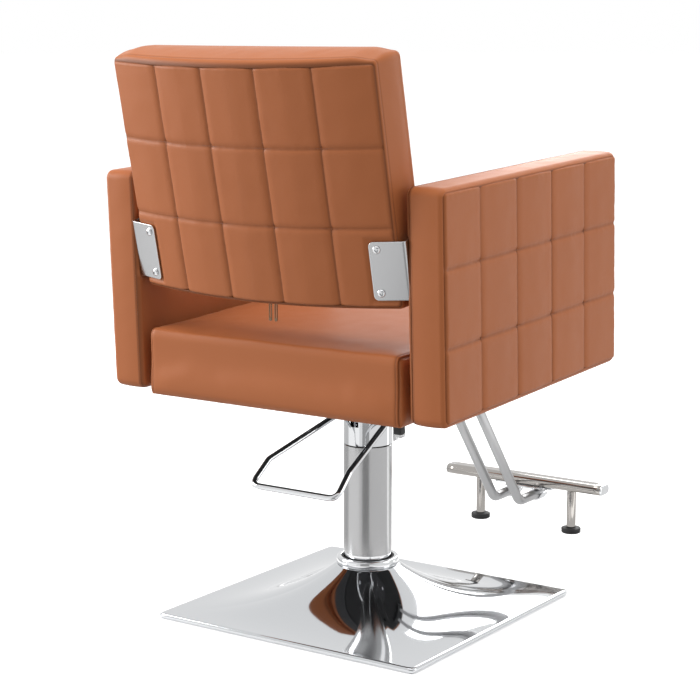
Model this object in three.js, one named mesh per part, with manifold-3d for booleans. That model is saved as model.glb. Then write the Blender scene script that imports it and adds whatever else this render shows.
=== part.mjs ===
// Styling chair: a padded box seat with quilted arms and back on a hydraulic column.
// Millimetres, +Z up. The origin is the centre of the base on the floor.
// The sitter faces -Y, so the sitter's right hand is on -X.
import * as THREE from "three";
import { mergeVertices } from "three/addons/utils/BufferGeometryUtils.js";
import Module from "manifold-3d";

const GAP = 0.3; // between pieces that touch
const SLACK = 0.4; // round a shank in its hole

// Base
const BASE_SIDE = 520;
const BASE_LIP = 10;
const COVER_WALL = 2.5;
const COVER_TOP = 80;
const COVER_FLARE = 2.4; // how hollow the cover's slope is
const PLATE_THICK = 6;
const RING_WIDE = 12; // how far the ring stands out from the column
const RING_TALL = 14;

// Column
const TUBE_R = 42;
const TUBE_WALL = 3;
const TUBE_TOP = 293;
const FLANGE_WIDE = 40;
const FLANGE_THICK = 8;
const RAM_R = 25;
const RAM_LOW = 66;
const RAM_TOP = 327;
const BUSH_TALL = 25;
const PISTON_THICK = 10;
const HEAD_TALL = 98;
const RING_R = TUBE_R + RING_WIDE;
const FLANGE_R = TUBE_R + FLANGE_WIDE;
const BASE_BOLT_R = TUBE_R + 0.6 * FLANGE_WIDE;

// Pump lever
const LEVER_ROD_R = 5.5;
const LEVER_PIVOT_Z = 346;
const LEVER_REACH = 220;
const LEVER_DROP = 95;
const LEVER_WIDTH = 172;
const LEVER_BEND = 176; // how far out the two rods turn down
const LEVER_BEND_DROP = 59;
const HUB_R = 11;
const HUB_WIDE = 12;
const PIN_R = 6;

// Seat unit, tilted back as one
const SEAT_TILT = THREE.MathUtils.degToRad(2.5);
const SEAT_Z = 410;
const SEAT_WIDE = 508;
const SEAT_FRONT = -296;
const SEAT_REAR = 287;
const SEAT_TALL = 114;
const BOARD_THICK = 12;
const BOARD_MARGIN = 30;
const MOUNT_SIDE = 180;
const MOUNT_THICK = 5;
const MOUNT_HOLE = 65; // bolt places from the middle, both ways

// Arms
const ARM_INSIDE = 267; // from the middle to an arm's inner face
const ARM_THICK = 62;
const ARM_FRONT = -285;
const ARM_REAR = 281;
const ARM_LOW = 5.5;
const ARM_TALL = 366;
const ARM_CORNER = 14;
const BAND = 8; // the boxing round an arm or the back
const CORE = 20; // the board inside an arm

// Backrest
const BACK_LEAN = THREE.MathUtils.degToRad(9.6);
const BACK_Y = 270.5;
const BACK_Z = 187;
const BACK_HALF = 250;
const BACK_TALL = 382;
const BACK_THICK = 70;
const BACK_BULGE = 36; // how far the middle stands behind the ends
const REAR_PANEL = 12;
const SHELL = 12;
const ARC_STEPS = 16;

// Brackets between the back and the arms
const STRAP = 3;
const BRACKET_LOW = 12;
const BRACKET_TALL = 93;
const BRACKET_INNER = 209;
const BRACKET_REACH = 60;
const SCREW_R = 3;
const SCREW_HEAD_R = 6.5;
const SCREW_HEAD_TALL = 4.2;
const SCREW_LONG = 20;
const SCREW_INSET = 12;

// Rails under the seat
const RAIL_X = 236;
const RAIL_WIDE = 42;
const RAIL_FRONT = -230;
const RAIL_REAR = 240;

// Footrest
const FOOT_TUBE_R = 9.5;
const FOOT_TUBE_X = 28;
const FOOT_TOP = new THREE.Vector2(-244, 411); // y and z at the seat
const FOOT_Y = -564; // the bar's middle
const FOOT_BAR_Z = 118;
const FOOT_BAR_LONG = 344;
const FOOT_BAR_DEEP = 38;
const FOOT_BAR_TALL = 20;
const FOOT_BAR_WALL = 1.5;
const LEG_X = 102.5;
const LEG_R = 9;
const LEG_LOW = 35;
const PAD_R = 19;
const PAD_TALL = 11;
const STEM_R = 4;
const STEM_LONG = 24;

// Zip under the back
const ZIP_HALF = 220;
const ZIP_DEEP = 14;
const ZIP_Y = -42; // from the back's rear face
const SLIDER = new THREE.Vector3(8, 9, 4.5);
const PULL_WIDE = 5.4;
const PULL_LONG = 38;
const PULL_THICK = 1.4;

const ROUND = 28; // sides of a large round
const SMALL_ROUND = 16;

const wasm = await Module();
wasm.setup();

// ---- Shapes ----

function place(geometry, x, y, z) {
  return geometry.translate(x, y, z);
}

function box(x0, x1, y0, y1, z0, z1) {
  const made = new THREE.BoxGeometry(x1 - x0, y1 - y0, z1 - z0);
  return place(made, (x0 + x1) / 2, (y0 + y1) / 2, (z0 + z1) / 2);
}

// A round bar standing on z = low.
function post(radius, low, high, sides = ROUND) {
  const made = new THREE.CylinderGeometry(radius, radius, high - low, sides);
  return made.rotateX(Math.PI / 2).translate(0, 0, (low + high) / 2);
}

// A round bar along X with its middle at the origin.
function crossBar(radius, long, sides = SMALL_ROUND) {
  return post(radius, -long / 2, long / 2, sides).rotateY(Math.PI / 2);
}

// A turned piece: pairs of radius and height, anticlockwise with the axis on the left.
function turned(pairs, sides = ROUND) {
  const points = pairs.map(([r, z]) => new THREE.Vector2(r, z));
  return new THREE.LatheGeometry(points, sides).rotateX(Math.PI / 2);
}

function tube(outer, inner, low, high, sides = ROUND) {
  const ring = [
    [inner, low],
    [outer, low],
    [outer, high],
    [inner, high],
    [inner, low],
  ];
  return turned(ring, sides);
}

function circle(radius) {
  const shape = new THREE.Shape();
  shape.absarc(0, 0, radius, 0, Math.PI * 2, false);
  return shape;
}

// A rod of round section along a path.
function rod(path, radius, steps, halfSides) {
  return new THREE.ExtrudeGeometry(circle(radius), {
    extrudePath: path,
    steps,
    curveSegments: halfSides,
    bevelEnabled: false,
  });
}

function rounded(wide, tall, radius) {
  const shape = new THREE.Shape();
  const w = wide / 2;
  const h = tall / 2;
  shape.moveTo(-w + radius, -h);
  shape.lineTo(w - radius, -h);
  shape.absarc(w - radius, -h + radius, radius, -Math.PI / 2, 0, false);
  shape.lineTo(w, h - radius);
  shape.absarc(w - radius, h - radius, radius, 0, Math.PI / 2, false);
  shape.lineTo(-w + radius, h);
  shape.absarc(-w + radius, h - radius, radius, Math.PI / 2, Math.PI, false);
  shape.lineTo(-w, -h + radius);
  shape.absarc(-w + radius, -h + radius, radius, Math.PI, Math.PI * 1.5, false);
  return shape;
}

function extruded(shape, depth, curveSegments = 3) {
  return new THREE.ExtrudeGeometry(shape, { depth, bevelEnabled: false, curveSegments });
}

// A path of straight stretches whose corners are rounded to the given radius.
function bentPath(points, radius) {
  const path = new THREE.CurvePath();
  let from = points[0];
  for (let i = 1; i < points.length - 1; i += 1) {
    const corner = points[i];
    const into = points[i - 1].clone().sub(corner).normalize();
    const away = points[i + 1].clone().sub(corner).normalize();
    const half = into.angleTo(away) / 2;
    const back = radius / Math.tan(half);
    const start = corner.clone().addScaledVector(into, back);
    const end = corner.clone().addScaledVector(away, back);
    path.add(new THREE.LineCurve3(from, start));
    path.add(new THREE.QuadraticBezierCurve3(start, corner, end));
    from = end;
  }
  path.add(new THREE.LineCurve3(from, points[points.length - 1]));
  return path;
}

// ---- Cutting and joining ----

function solid(geometry) {
  const bare = geometry.clone();
  bare.deleteAttribute("normal");
  bare.deleteAttribute("uv");
  const merged = mergeVertices(bare, 1e-3);
  return new wasm.Manifold(
    new wasm.Mesh({
      numProp: 3,
      vertProperties: new Float32Array(merged.attributes.position.array),
      triVerts: new Uint32Array(merged.index.array),
    }),
  );
}

function geometryOf(manifold) {
  const mesh = manifold.getMesh();
  const made = new THREE.BufferGeometry();
  made.setAttribute("position", new THREE.BufferAttribute(mesh.vertProperties, 3));
  made.setIndex(new THREE.BufferAttribute(mesh.triVerts, 1));
  made.computeVertexNormals();
  return made;
}

function cut(geometry, ...tools) {
  return geometryOf(tools.reduce((left, tool) => left.subtract(solid(tool)), solid(geometry)));
}

function join(first, ...others) {
  return geometryOf(others.reduce((sum, other) => sum.add(solid(other)), solid(first)));
}

// ---- Finishes ----

function finish(colour, roughness, metalness) {
  return () => new THREE.MeshStandardMaterial({ color: colour, roughness, metalness });
}

const chrome = finish(0xd4d6d8, 0.08, 1);
const satinSteel = finish(0xb4b5b6, 0.32, 1);
const plainSteel = finish(0x5b5e61, 0.5, 0.8);
const bronze = finish(0x9a7440, 0.4, 0.9);
const leather = finish(0xb9734d, 0.55, 0);
const plywood = finish(0xb89468, 0.8, 0);
const rubber = finish(0x17181a, 0.8, 0);
const zipMetal = finish(0x6d5a44, 0.45, 0.7);

const chair = new THREE.Group();
chair.name = "styling_chair";
const seatUnit = new THREE.Group();
seatUnit.position.z = SEAT_Z;
seatUnit.rotation.x = -SEAT_TILT;
const backUnit = new THREE.Group();
backUnit.position.set(0, BACK_Y, BACK_Z);
backUnit.rotation.x = -BACK_LEAN;
seatUnit.add(backUnit);
chair.add(seatUnit);

function part(name, geometry, material, group = chair) {
  const mesh = new THREE.Mesh(geometry, material());
  mesh.name = name;
  group.add(mesh);
  return mesh;
}

function sides(make) {
  make("right", -1);
  make("left", 1);
}

// ---- Base ----

// The cover's height: a level square lip that sweeps up to the round neck.
function coverHeight(x, y) {
  const half = BASE_SIDE / 2;
  const reach = Math.max(Math.abs(x), Math.abs(y));
  const power = 2 + 6 * (reach / half) ** 2;
  const out = (Math.abs(x) ** power + Math.abs(y) ** power) ** (1 / power);
  const along = THREE.MathUtils.clamp((out - RING_R) / (half - COVER_WALL - RING_R), 0, 1);
  return BASE_LIP + (COVER_TOP - BASE_LIP) * (1 - along) ** COVER_FLARE;
}

function coverShell() {
  const cells = 18;
  const half = BASE_SIDE / 2;
  const made = new THREE.BoxGeometry(BASE_SIDE, BASE_SIDE, 1, cells, cells, 1);
  const spots = made.attributes.position;
  const rimSteps = [half, half - COVER_WALL, half - COVER_WALL - 1];
  const inside = cells / 2 - rimSteps.length + 1;
  const spread = (value) => {
    const fromRim = Math.round((half - Math.abs(value)) / (BASE_SIDE / cells));
    const last = rimSteps.length - 1;
    const size = fromRim <= last ? rimSteps[fromRim] : rimSteps[last] * (1 - (fromRim - last) / inside);
    return Math.sign(value) * size;
  };
  for (let i = 0; i < spots.count; i += 1) {
    const x = spread(spots.getX(i));
    const y = spread(spots.getY(i));
    const reach = Math.max(Math.abs(x), Math.abs(y));
    const top = coverHeight(x, y);
    const skirt = reach > half - COVER_WALL - 0.5;
    const under = skirt ? 0 : top - COVER_WALL;
    const lowered = reach > half - 0.5 ? 2 : 0;
    spots.setXYZ(i, x, y, spots.getZ(i) > 0 ? top - lowered : under);
  }
  return made;
}

function boltAt(x, y, headLow, headTall, shankLow, radius) {
  const head = post(radius * 1.7, headLow, headLow + headTall, 6);
  return place(join(head, post(radius, shankLow, headLow + 1, 12)), x, y, 0);
}

function buildBase() {
  const plateHalf = BASE_SIDE / 2 - COVER_WALL - 2;
  const spots = [0, 1, 2, 3].map((i) => Math.PI / 4 + (i * Math.PI) / 2);
  const at = (angle) => [BASE_BOLT_R * Math.cos(angle), BASE_BOLT_R * Math.sin(angle)];
  const flangeLow = PLATE_THICK + GAP;
  const flangeTop = flangeLow + FLANGE_THICK;
  const holes = spots.map((angle) => place(post(5 + SLACK, 2, flangeTop + 1, 12), ...at(angle), 0));
  const plate = box(-plateHalf, plateHalf, -plateHalf, plateHalf, 0, PLATE_THICK);
  part("base_plate", cut(plate, ...holes), plainSteel);
  const neck = post(TUBE_R + 1.5, 0, COVER_TOP + 20);
  part("base_cover", cut(coverShell(), neck), chrome);
  const inner = TUBE_R - TUBE_WALL;
  const wall = turned([
    [inner, flangeLow],
    [FLANGE_R, flangeLow],
    [FLANGE_R, flangeTop],
    [TUBE_R, flangeTop],
    [TUBE_R, TUBE_TOP - 1],
    [TUBE_R - 1, TUBE_TOP],
    [inner, TUBE_TOP],
    [inner, flangeLow],
  ]);
  part("column_tube", cut(wall, ...holes), satinSteel);
  spots.forEach((angle, i) => {
    const bolt = boltAt(...at(angle), flangeTop + GAP, 6, 2 + GAP, 5);
    part("base_bolt_" + (i + 1), bolt, plainSteel);
  });
  const ringLow = COVER_TOP + GAP;
  const ringIn = TUBE_R + 5;
  const ring = turned([
    [ringIn, ringLow],
    [RING_R, ringLow],
    [RING_R, ringLow + RING_TALL - 3],
    [RING_R - 1, ringLow + RING_TALL - 1],
    [RING_R - 3, ringLow + RING_TALL],
    [ringIn, ringLow + RING_TALL],
    [ringIn, ringLow],
  ]);
  part("cover_ring", ring, chrome);
  part("column_gasket", tube(ringIn - GAP, TUBE_R + GAP, ringLow, ringLow + RING_TALL - 4), rubber);
  part("guide_bush", tube(inner - GAP, RAM_R + GAP, TUBE_TOP - BUSH_TALL, TUBE_TOP - 0.5), bronze);
}

// ---- Lift, ram and head ----

function buildColumn() {
  const bearingTall = 5;
  const pistonTop = RAM_LOW - GAP - bearingTall - GAP;
  const pistonR = TUBE_R - TUBE_WALL - 0.5;
  part("lift_piston", post(pistonR, pistonTop - PISTON_THICK, pistonTop), plainSteel);
  part("thrust_bearing", tube(RAM_R - 1, 12, pistonTop + GAP, RAM_LOW - GAP), plainSteel);
  const plungerY = 14;
  const plungerR = 5;
  const plungerLow = RAM_TOP - 34;
  const plungerTop = LEVER_PIVOT_Z - HUB_R - 1;
  const plungerHole = place(post(plungerR + SLACK, plungerLow - 12, RAM_TOP + 40, 12), 0, plungerY, 0);
  part("ram", cut(post(RAM_R, RAM_LOW, RAM_TOP), plungerHole), chrome);
  const headLow = TUBE_TOP + 1;
  const headTop = headLow + HEAD_TALL;
  const socket = RAM_R + GAP;
  const head = turned([
    [socket, headLow],
    [TUBE_R - 1, headLow],
    [TUBE_R, headLow + 1],
    [TUBE_R, headTop - 12],
    [TUBE_R - 10, headTop],
    [0, headTop],
    [0, RAM_TOP + GAP],
    [socket, RAM_TOP + GAP],
    [socket, headLow],
  ]);
  const slot = box(-8, 8, -HUB_R - 3, TUBE_R + 5, LEVER_PIVOT_Z - HUB_R - 7, LEVER_PIVOT_Z + HUB_R + 3);
  const pinHole = place(crossBar(PIN_R + SLACK, TUBE_R * 3), 0, 0, LEVER_PIVOT_Z);
  part("swivel_head", cut(head, slot, pinHole, plungerHole), chrome);
  part("pump_plunger", place(post(plungerR, plungerLow, plungerTop, 12), 0, plungerY, 0), plainSteel);
}

function buildLever() {
  const inner = TUBE_R + 2;
  const hubMid = inner + HUB_WIDE / 2;
  const tip = (side, y, drop, x) => new THREE.Vector3(side * x, y, LEVER_PIVOT_Z - drop);
  const half = LEVER_WIDTH / 2;
  const points = [
    tip(-1, 4, 2, hubMid),
    tip(-1, LEVER_BEND, LEVER_BEND_DROP, half - 4),
    tip(-1, LEVER_REACH, LEVER_DROP, half),
    tip(1, LEVER_REACH, LEVER_DROP, half),
    tip(1, LEVER_BEND, LEVER_BEND_DROP, half - 4),
    tip(1, 4, 2, hubMid),
  ];
  const loop = rod(bentPath(points, 16), LEVER_ROD_R, 46, 5);
  const hub = (side) => place(crossBar(HUB_R, HUB_WIDE), side * hubMid, 0, LEVER_PIVOT_Z);
  const pin = place(crossBar(PIN_R, 2 * hubMid), 0, 0, LEVER_PIVOT_Z);
  const cam = place(crossBar(HUB_R, 14), 0, 0, LEVER_PIVOT_Z);
  const nose = box(-7, 7, 0, 19, LEVER_PIVOT_Z - HUB_R, LEVER_PIVOT_Z - 2);
  part("pump_lever", join(loop, hub(-1), hub(1), pin, cam, nose), chrome);
}

// ---- Seat ----

function buildSeat() {
  const half = SEAT_WIDE / 2;
  const boardHalf = half - BOARD_MARGIN;
  const front = SEAT_FRONT + BOARD_MARGIN;
  const rear = SEAT_REAR - BOARD_MARGIN;
  const holeSpots = [
    [-1, -1],
    [1, -1],
    [-1, 1],
    [1, 1],
  ];
  const holes = holeSpots.map(([i, j]) =>
    place(post(4 + SLACK, -MOUNT_THICK - 2, BOARD_THICK - 2, 12), i * MOUNT_HOLE, j * MOUNT_HOLE, 0),
  );
  const board = box(-boardHalf, boardHalf, front, rear, 0, BOARD_THICK);
  part("seat_board", cut(board, ...holes), plywood, seatUnit);
  const pad = extruded(rounded(SEAT_WIDE, SEAT_TALL, 12), SEAT_REAR - SEAT_FRONT);
  pad.rotateX(Math.PI / 2).translate(0, SEAT_REAR, SEAT_TALL / 2);
  const recess = box(
    -boardHalf - GAP, boardHalf + GAP, front - GAP, rear + GAP, -5, BOARD_THICK + GAP,
  );
  part("seat_cushion", cut(pad, recess), leather, seatUnit);
  const mountHalf = MOUNT_SIDE / 2;
  const mountPlate = box(-mountHalf, mountHalf, -mountHalf, mountHalf, -GAP - MOUNT_THICK, -GAP);
  const headTop = TUBE_TOP + 1 + HEAD_TALL;
  // The collar stands upright on the head, so it is turned back by the seat's tilt.
  const collar = post(30, headTop + GAP - SEAT_Z, -GAP - 1).rotateX(SEAT_TILT);
  const ceiling = box(-mountHalf, mountHalf, -mountHalf, mountHalf, -GAP, 30);
  const mount = cut(join(mountPlate, collar), ceiling, ...holes);
  part("seat_mount_plate", mount, plainSteel, seatUnit);
  holeSpots.forEach(([i, j], n) => {
    const headLow = -GAP - MOUNT_THICK - GAP;
    const head = post(7, headLow - 5, headLow, 6);
    const bolt = join(head, post(4, headLow - 1, BOARD_THICK - 3, 12));
    part("mount_bolt_" + (n + 1), place(bolt, i * MOUNT_HOLE, j * MOUNT_HOLE, 0), plainSteel, seatUnit);
  });
  sides((name, side) => {
    const middle = side * (RAIL_X - RAIL_WIDE / 2);
    const [from, to] = [middle - RAIL_WIDE / 2, middle + RAIL_WIDE / 2];
    const rail = box(from, to, RAIL_FRONT, RAIL_REAR, -STRAP - GAP, -GAP);
    part("arm_rail_" + name, rail, plainSteel, seatUnit);
  });
}

// A mirrored mesh has its triangles turned back to face outwards.
function turnInsideOut(geometry) {
  const order = geometry.index.array;
  for (let i = 0; i < order.length; i += 3) {
    const kept = order[i];
    order[i] = order[i + 1];
    order[i + 1] = kept;
  }
  return geometry;
}

// ---- Arms ----

function buildArm(name, side) {
  const long = ARM_REAR - ARM_FRONT;
  const middleY = (ARM_REAR + ARM_FRONT) / 2;
  const middleZ = ARM_LOW + ARM_TALL / 2;
  const slab = (inset, inner, thick) => {
    const shape = rounded(long - 2 * inset, ARM_TALL - 2 * inset, Math.max(ARM_CORNER - inset, 3));
    const made = extruded(shape, thick).rotateX(Math.PI / 2).rotateZ(Math.PI / 2);
    const low = side > 0 ? ARM_INSIDE + inner : -ARM_INSIDE - inner - thick;
    return made.translate(low, middleY, middleZ);
  };
  const pad = (ARM_THICK - CORE) / 2 - GAP;
  const inset = BAND + GAP;
  part("arm_band_" + name, cut(slab(0, 0, ARM_THICK), slab(BAND, -5, ARM_THICK + 10)), leather, seatUnit);
  part("arm_inner_pad_" + name, slab(inset, 0, pad), leather, seatUnit);
  part("arm_board_" + name, slab(inset, pad + GAP, CORE), plywood, seatUnit);
  part("arm_outer_pad_" + name, slab(inset, pad + CORE + 2 * GAP, pad), leather, seatUnit);
}

// ---- Backrest ----

const backRadius = (BACK_HALF ** 2 + BACK_BULGE ** 2) / (2 * BACK_BULGE);

// How far the rear face stands behind its ends at a place across the back.
function bulge(x) {
  return Math.sqrt(backRadius ** 2 - x ** 2) - (backRadius - BACK_BULGE);
}

// A layer that follows the back's curve, from one depth to another behind the ends. A straight
// one follows the curve on its rear side only, and its front side is flat across.
function curvedLayer(half, near, far, low, high, straight = false) {
  const shape = new THREE.Shape();
  const step = (i) => half * (1 - (2 * i) / ARC_STEPS);
  shape.moveTo(half, bulge(half) + far);
  for (let i = 1; i <= ARC_STEPS; i += 1) shape.lineTo(step(i), bulge(step(i)) + far);
  if (straight) {
    shape.lineTo(-half, near);
    shape.lineTo(half, near);
  } else {
    for (let i = ARC_STEPS; i >= 0; i -= 1) shape.lineTo(step(i), bulge(step(i)) + near);
  }
  return extruded(shape, high - low).translate(0, 0, low);
}

function screwPlace(side, high) {
  const slope = Math.atan(bulge(BRACKET_INNER) / (BACK_HALF - BRACKET_INNER));
  const along = SCREW_INSET * Math.cos(slope);
  const x = BRACKET_INNER + along;
  const y = bulge(BRACKET_INNER) - SCREW_INSET * Math.sin(slope);
  const z = BRACKET_LOW + (high ? BRACKET_TALL - SCREW_INSET : SCREW_INSET);
  return { x: side * x, y, z, turn: -side * slope };
}

// Anything made along +Z at the origin, set square to a bracket's face at a screw.
function atScrew(geometry, spot) {
  return geometry.rotateX(-Math.PI / 2).rotateZ(spot.turn).translate(spot.x, spot.y, spot.z);
}

function buildBack() {
  const inset = BAND + GAP;
  const insideHalf = BACK_HALF - inset;
  const top = BACK_TALL - inset;
  const whole = curvedLayer(BACK_HALF, -BACK_THICK, 0, 0, BACK_TALL, true);
  const middle = curvedLayer(BACK_HALF - BAND, -BACK_THICK - 40, 40, BAND, BACK_TALL - BAND);
  part("back_band", cut(whole, middle), leather, backUnit);
  const spots = [];
  sides((name, side) => spots.push(screwPlace(side, true), screwPlace(side, false)));
  const holes = spots.map((spot) => atScrew(post(SCREW_R + SLACK, -SCREW_LONG, 12, 12), spot));
  const panel = curvedLayer(insideHalf, -REAR_PANEL, 0, inset, top);
  part("back_rear_panel", cut(panel, ...holes), leather, backUnit);
  const shellFar = -REAR_PANEL - GAP;
  const shell = curvedLayer(insideHalf, shellFar - SHELL, shellFar, inset, top);
  part("back_shell", cut(shell, ...holes), plywood, backUnit);
  part(
    "back_front_pad",
    curvedLayer(insideHalf, -BACK_THICK, shellFar - SHELL - GAP, inset, top, true),
    leather,
    backUnit,
  );
  sides((name, side) => buildBracket(name, side));
}

function buildBracket(name, side) {
  const slope = Math.atan(bulge(BRACKET_INNER) / (BACK_HALF - BRACKET_INNER));
  const foldX = ARM_INSIDE - GAP;
  const flangeLong = (foldX - BRACKET_INNER) / Math.cos(slope);
  const lift = 0.8; // the curved panel swells this much past its chord
  const rearFace = extruded(rounded(flangeLong, BRACKET_TALL, 8), STRAP);
  rearFace.rotateX(Math.PI / 2).translate(flangeLong / 2, STRAP, 0);
  const stripY = bulge(BRACKET_INNER) + lift;
  rearFace.rotateZ(-slope).translate(BRACKET_INNER, stripY, BRACKET_LOW + BRACKET_TALL / 2);
  const foldY = stripY - Math.tan(slope) * (foldX - BRACKET_INNER);
  const low = BRACKET_LOW;
  const flange = box(foldX - STRAP, foldX, foldY - BRACKET_REACH, foldY + 2, low, low + BRACKET_TALL);
  const corner = box(foldX - 12, foldX - 1, foldY, foldY + 2, low, low + BRACKET_TALL);
  const outside = box(foldX, foldX + 40, -200, 200, 0, 300);
  const holes = [true, false].map((high) => atScrew(post(SCREW_R + SLACK, -2, 12, 12), screwPlace(1, high)));
  const made = cut(join(rearFace, corner, flange), outside, ...holes);
  const turnedSide = side < 0 ? turnInsideOut(made.scale(-1, 1, 1)) : made;
  part("back_bracket_" + name, turnedSide, chrome, backUnit);
  [true, false].forEach((high) => {
    const seatAt = STRAP + lift + GAP;
    const screw = turned(
      [
        [0, -SCREW_LONG + 2],
        [SCREW_R, -SCREW_LONG + 2],
        [SCREW_R, seatAt],
        [SCREW_HEAD_R, seatAt],
        [SCREW_HEAD_R * 0.85, seatAt + SCREW_HEAD_TALL * 0.6],
        [SCREW_HEAD_R * 0.5, seatAt + SCREW_HEAD_TALL],
        [0, seatAt + SCREW_HEAD_TALL],
      ],
      SMALL_ROUND,
    );
    const label = "bracket_screw_" + name + (high ? "_upper" : "_lower");
    part(label, atScrew(screw, screwPlace(side, high)), chrome, backUnit);
  });
}

// ---- Zip ----

function buildZip() {
  const tape = curvedLayer(ZIP_HALF, ZIP_Y - ZIP_DEEP / 2, ZIP_Y + ZIP_DEEP / 2, -1.3, -GAP);
  part("zip_tape", tape, zipMetal, backUnit);
  const y = BACK_BULGE + ZIP_Y;
  const sliderTop = -1.3 - 0.5;
  const hinge = new THREE.Vector3(0, y, sliderTop - SLIDER.z - 1);
  sides((name, side) => {
    const x = side * (SLIDER.x / 2 + 1.5);
    const slider = box(
      x - SLIDER.x / 2, x + SLIDER.x / 2, y - SLIDER.y / 2, y + SLIDER.y / 2, sliderTop - SLIDER.z, sliderTop,
    );
    part("zip_slider_" + name, slider, zipMetal, backUnit);
    const tab = extruded(rounded(PULL_WIDE, PULL_LONG, PULL_WIDE / 2 - 0.1), PULL_THICK, 4);
    tab.rotateX(Math.PI / 2).translate(0, PULL_THICK / 2, -PULL_LONG / 2);
    const eye = post(1.2, -5, 5, 10).rotateX(Math.PI / 2).translate(0, 0, -PULL_LONG + 4);
    const pull = part("zip_pull_" + name, cut(tab, eye), zipMetal, backUnit);
    pull.position.set(x, hinge.y, hinge.z);
    pull.rotation.x = BACK_LEAN + SEAT_TILT; // it hangs plumb
  });
}

// ---- Footrest ----

function buildFootrest() {
  const barLow = FOOT_BAR_Z - FOOT_BAR_TALL / 2;
  const clampThick = 6;
  const tubeZ = barLow - 2 * GAP - clampThick - FOOT_TUBE_R;
  // The mounting channel under the board, with its underside cut for the tubes.
  const channelY = FOOT_TOP.x;
  const channel = box(-52, 52, channelY - 26, channelY + 26, -STRAP - GAP - 16, -GAP);
  const bars = [-1, 1].map((side) => {
    const points = [
      new THREE.Vector3(side * FOOT_TUBE_X, FOOT_TOP.x, FOOT_TOP.y),
      new THREE.Vector3(side * FOOT_TUBE_X, -487, tubeZ),
      new THREE.Vector3(side * FOOT_TUBE_X, FOOT_Y - 22, tubeZ),
    ];
    return { side, path: bentPath(points, 24) };
  });
  const wide = (path) => {
    const bore = rod(path, FOOT_TUBE_R + GAP, 24, 6);
    return bore.translate(0, 0, -SEAT_Z).rotateX(SEAT_TILT);
  };
  part("footrest_channel", cut(channel, ...bars.map((bar) => wide(bar.path))), plainSteel, seatUnit);
  bars.forEach(({ side, path }) => {
    const name = side < 0 ? "right" : "left";
    part("footrest_tube_" + name, rod(path, FOOT_TUBE_R, 24, 6), satinSteel);
    const stemLow = LEG_LOW - 1;
    const socket = post(STEM_R + SLACK, stemLow - 5, stemLow + STEM_LONG + 10, 12);
    const leg = cut(post(LEG_R, LEG_LOW, barLow - GAP, SMALL_ROUND), socket);
    part("foot_leg_" + name, place(leg, side * LEG_X, FOOT_Y, 0), satinSteel);
    const padTop = LEG_LOW - 1;
    const pad = turned(
      [
        [0, padTop - PAD_TALL],
        [PAD_R - 1.5, padTop - PAD_TALL],
        [PAD_R, padTop - PAD_TALL + 1.5],
        [PAD_R, padTop - 2],
        [PAD_R - 2, padTop],
        [STEM_R, padTop],
        [STEM_R, padTop + STEM_LONG],
        [0, padTop + STEM_LONG],
      ],
      24,
    );
    part("foot_pad_" + name, place(pad, side * LEG_X, FOOT_Y, 0), rubber);
    const capX = side * (FOOT_BAR_LONG / 2 + GAP);
    const lid = extruded(rounded(FOOT_BAR_DEEP, FOOT_BAR_TALL, FOOT_BAR_TALL / 2 - 0.1), 3);
    lid.rotateX(Math.PI / 2).rotateZ(Math.PI / 2);
    lid.translate(side > 0 ? capX : capX - 3, FOOT_Y, FOOT_BAR_Z);
    part("foot_bar_cap_" + name, lid, satinSteel);
  });
  const barSection = (inset) =>
    rounded(FOOT_BAR_DEEP - 2 * inset, FOOT_BAR_TALL - 2 * inset, FOOT_BAR_TALL / 2 - 0.1 - inset);
  const outline = barSection(0);
  const hollow = barSection(FOOT_BAR_WALL);
  outline.holes.push(hollow);
  const bar = extruded(outline, FOOT_BAR_LONG).rotateX(Math.PI / 2).rotateZ(Math.PI / 2);
  part("foot_bar", bar.translate(-FOOT_BAR_LONG / 2, FOOT_Y, FOOT_BAR_Z), satinSteel);
  const clampTop = barLow - GAP;
  const clamp = box(-40, 40, FOOT_Y - 16, FOOT_Y + 16, clampTop - clampThick, clampTop);
  part("foot_bar_clamp", clamp, chrome);
}

buildBase();
buildColumn();
buildLever();
buildSeat();
sides(buildArm);
buildBack();
buildZip();
buildFootrest();

export default chair;
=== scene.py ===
# A padded salon styling chair: a quilted box of leather-look cloth on a lifting, swivelling column.
# Metres, +Z up, origin at the middle of the base on the floor, the sitter facing -Y.
import math

import bmesh
import bpy
from mathutils import Matrix, Vector, noise


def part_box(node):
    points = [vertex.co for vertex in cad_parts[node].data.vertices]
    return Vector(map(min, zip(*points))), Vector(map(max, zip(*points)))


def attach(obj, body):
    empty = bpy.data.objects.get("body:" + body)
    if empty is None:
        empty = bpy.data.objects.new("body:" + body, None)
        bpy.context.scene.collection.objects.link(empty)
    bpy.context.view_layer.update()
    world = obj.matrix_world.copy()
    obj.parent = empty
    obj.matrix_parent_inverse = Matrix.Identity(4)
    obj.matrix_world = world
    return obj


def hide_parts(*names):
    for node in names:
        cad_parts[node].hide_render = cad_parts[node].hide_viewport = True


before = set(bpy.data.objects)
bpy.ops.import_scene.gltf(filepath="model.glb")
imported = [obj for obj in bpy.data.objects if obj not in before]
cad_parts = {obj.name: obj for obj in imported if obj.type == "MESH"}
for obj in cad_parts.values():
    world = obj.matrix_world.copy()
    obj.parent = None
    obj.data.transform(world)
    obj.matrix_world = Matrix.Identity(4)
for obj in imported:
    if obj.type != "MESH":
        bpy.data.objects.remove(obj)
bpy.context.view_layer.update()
MM = 0.001


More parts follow.
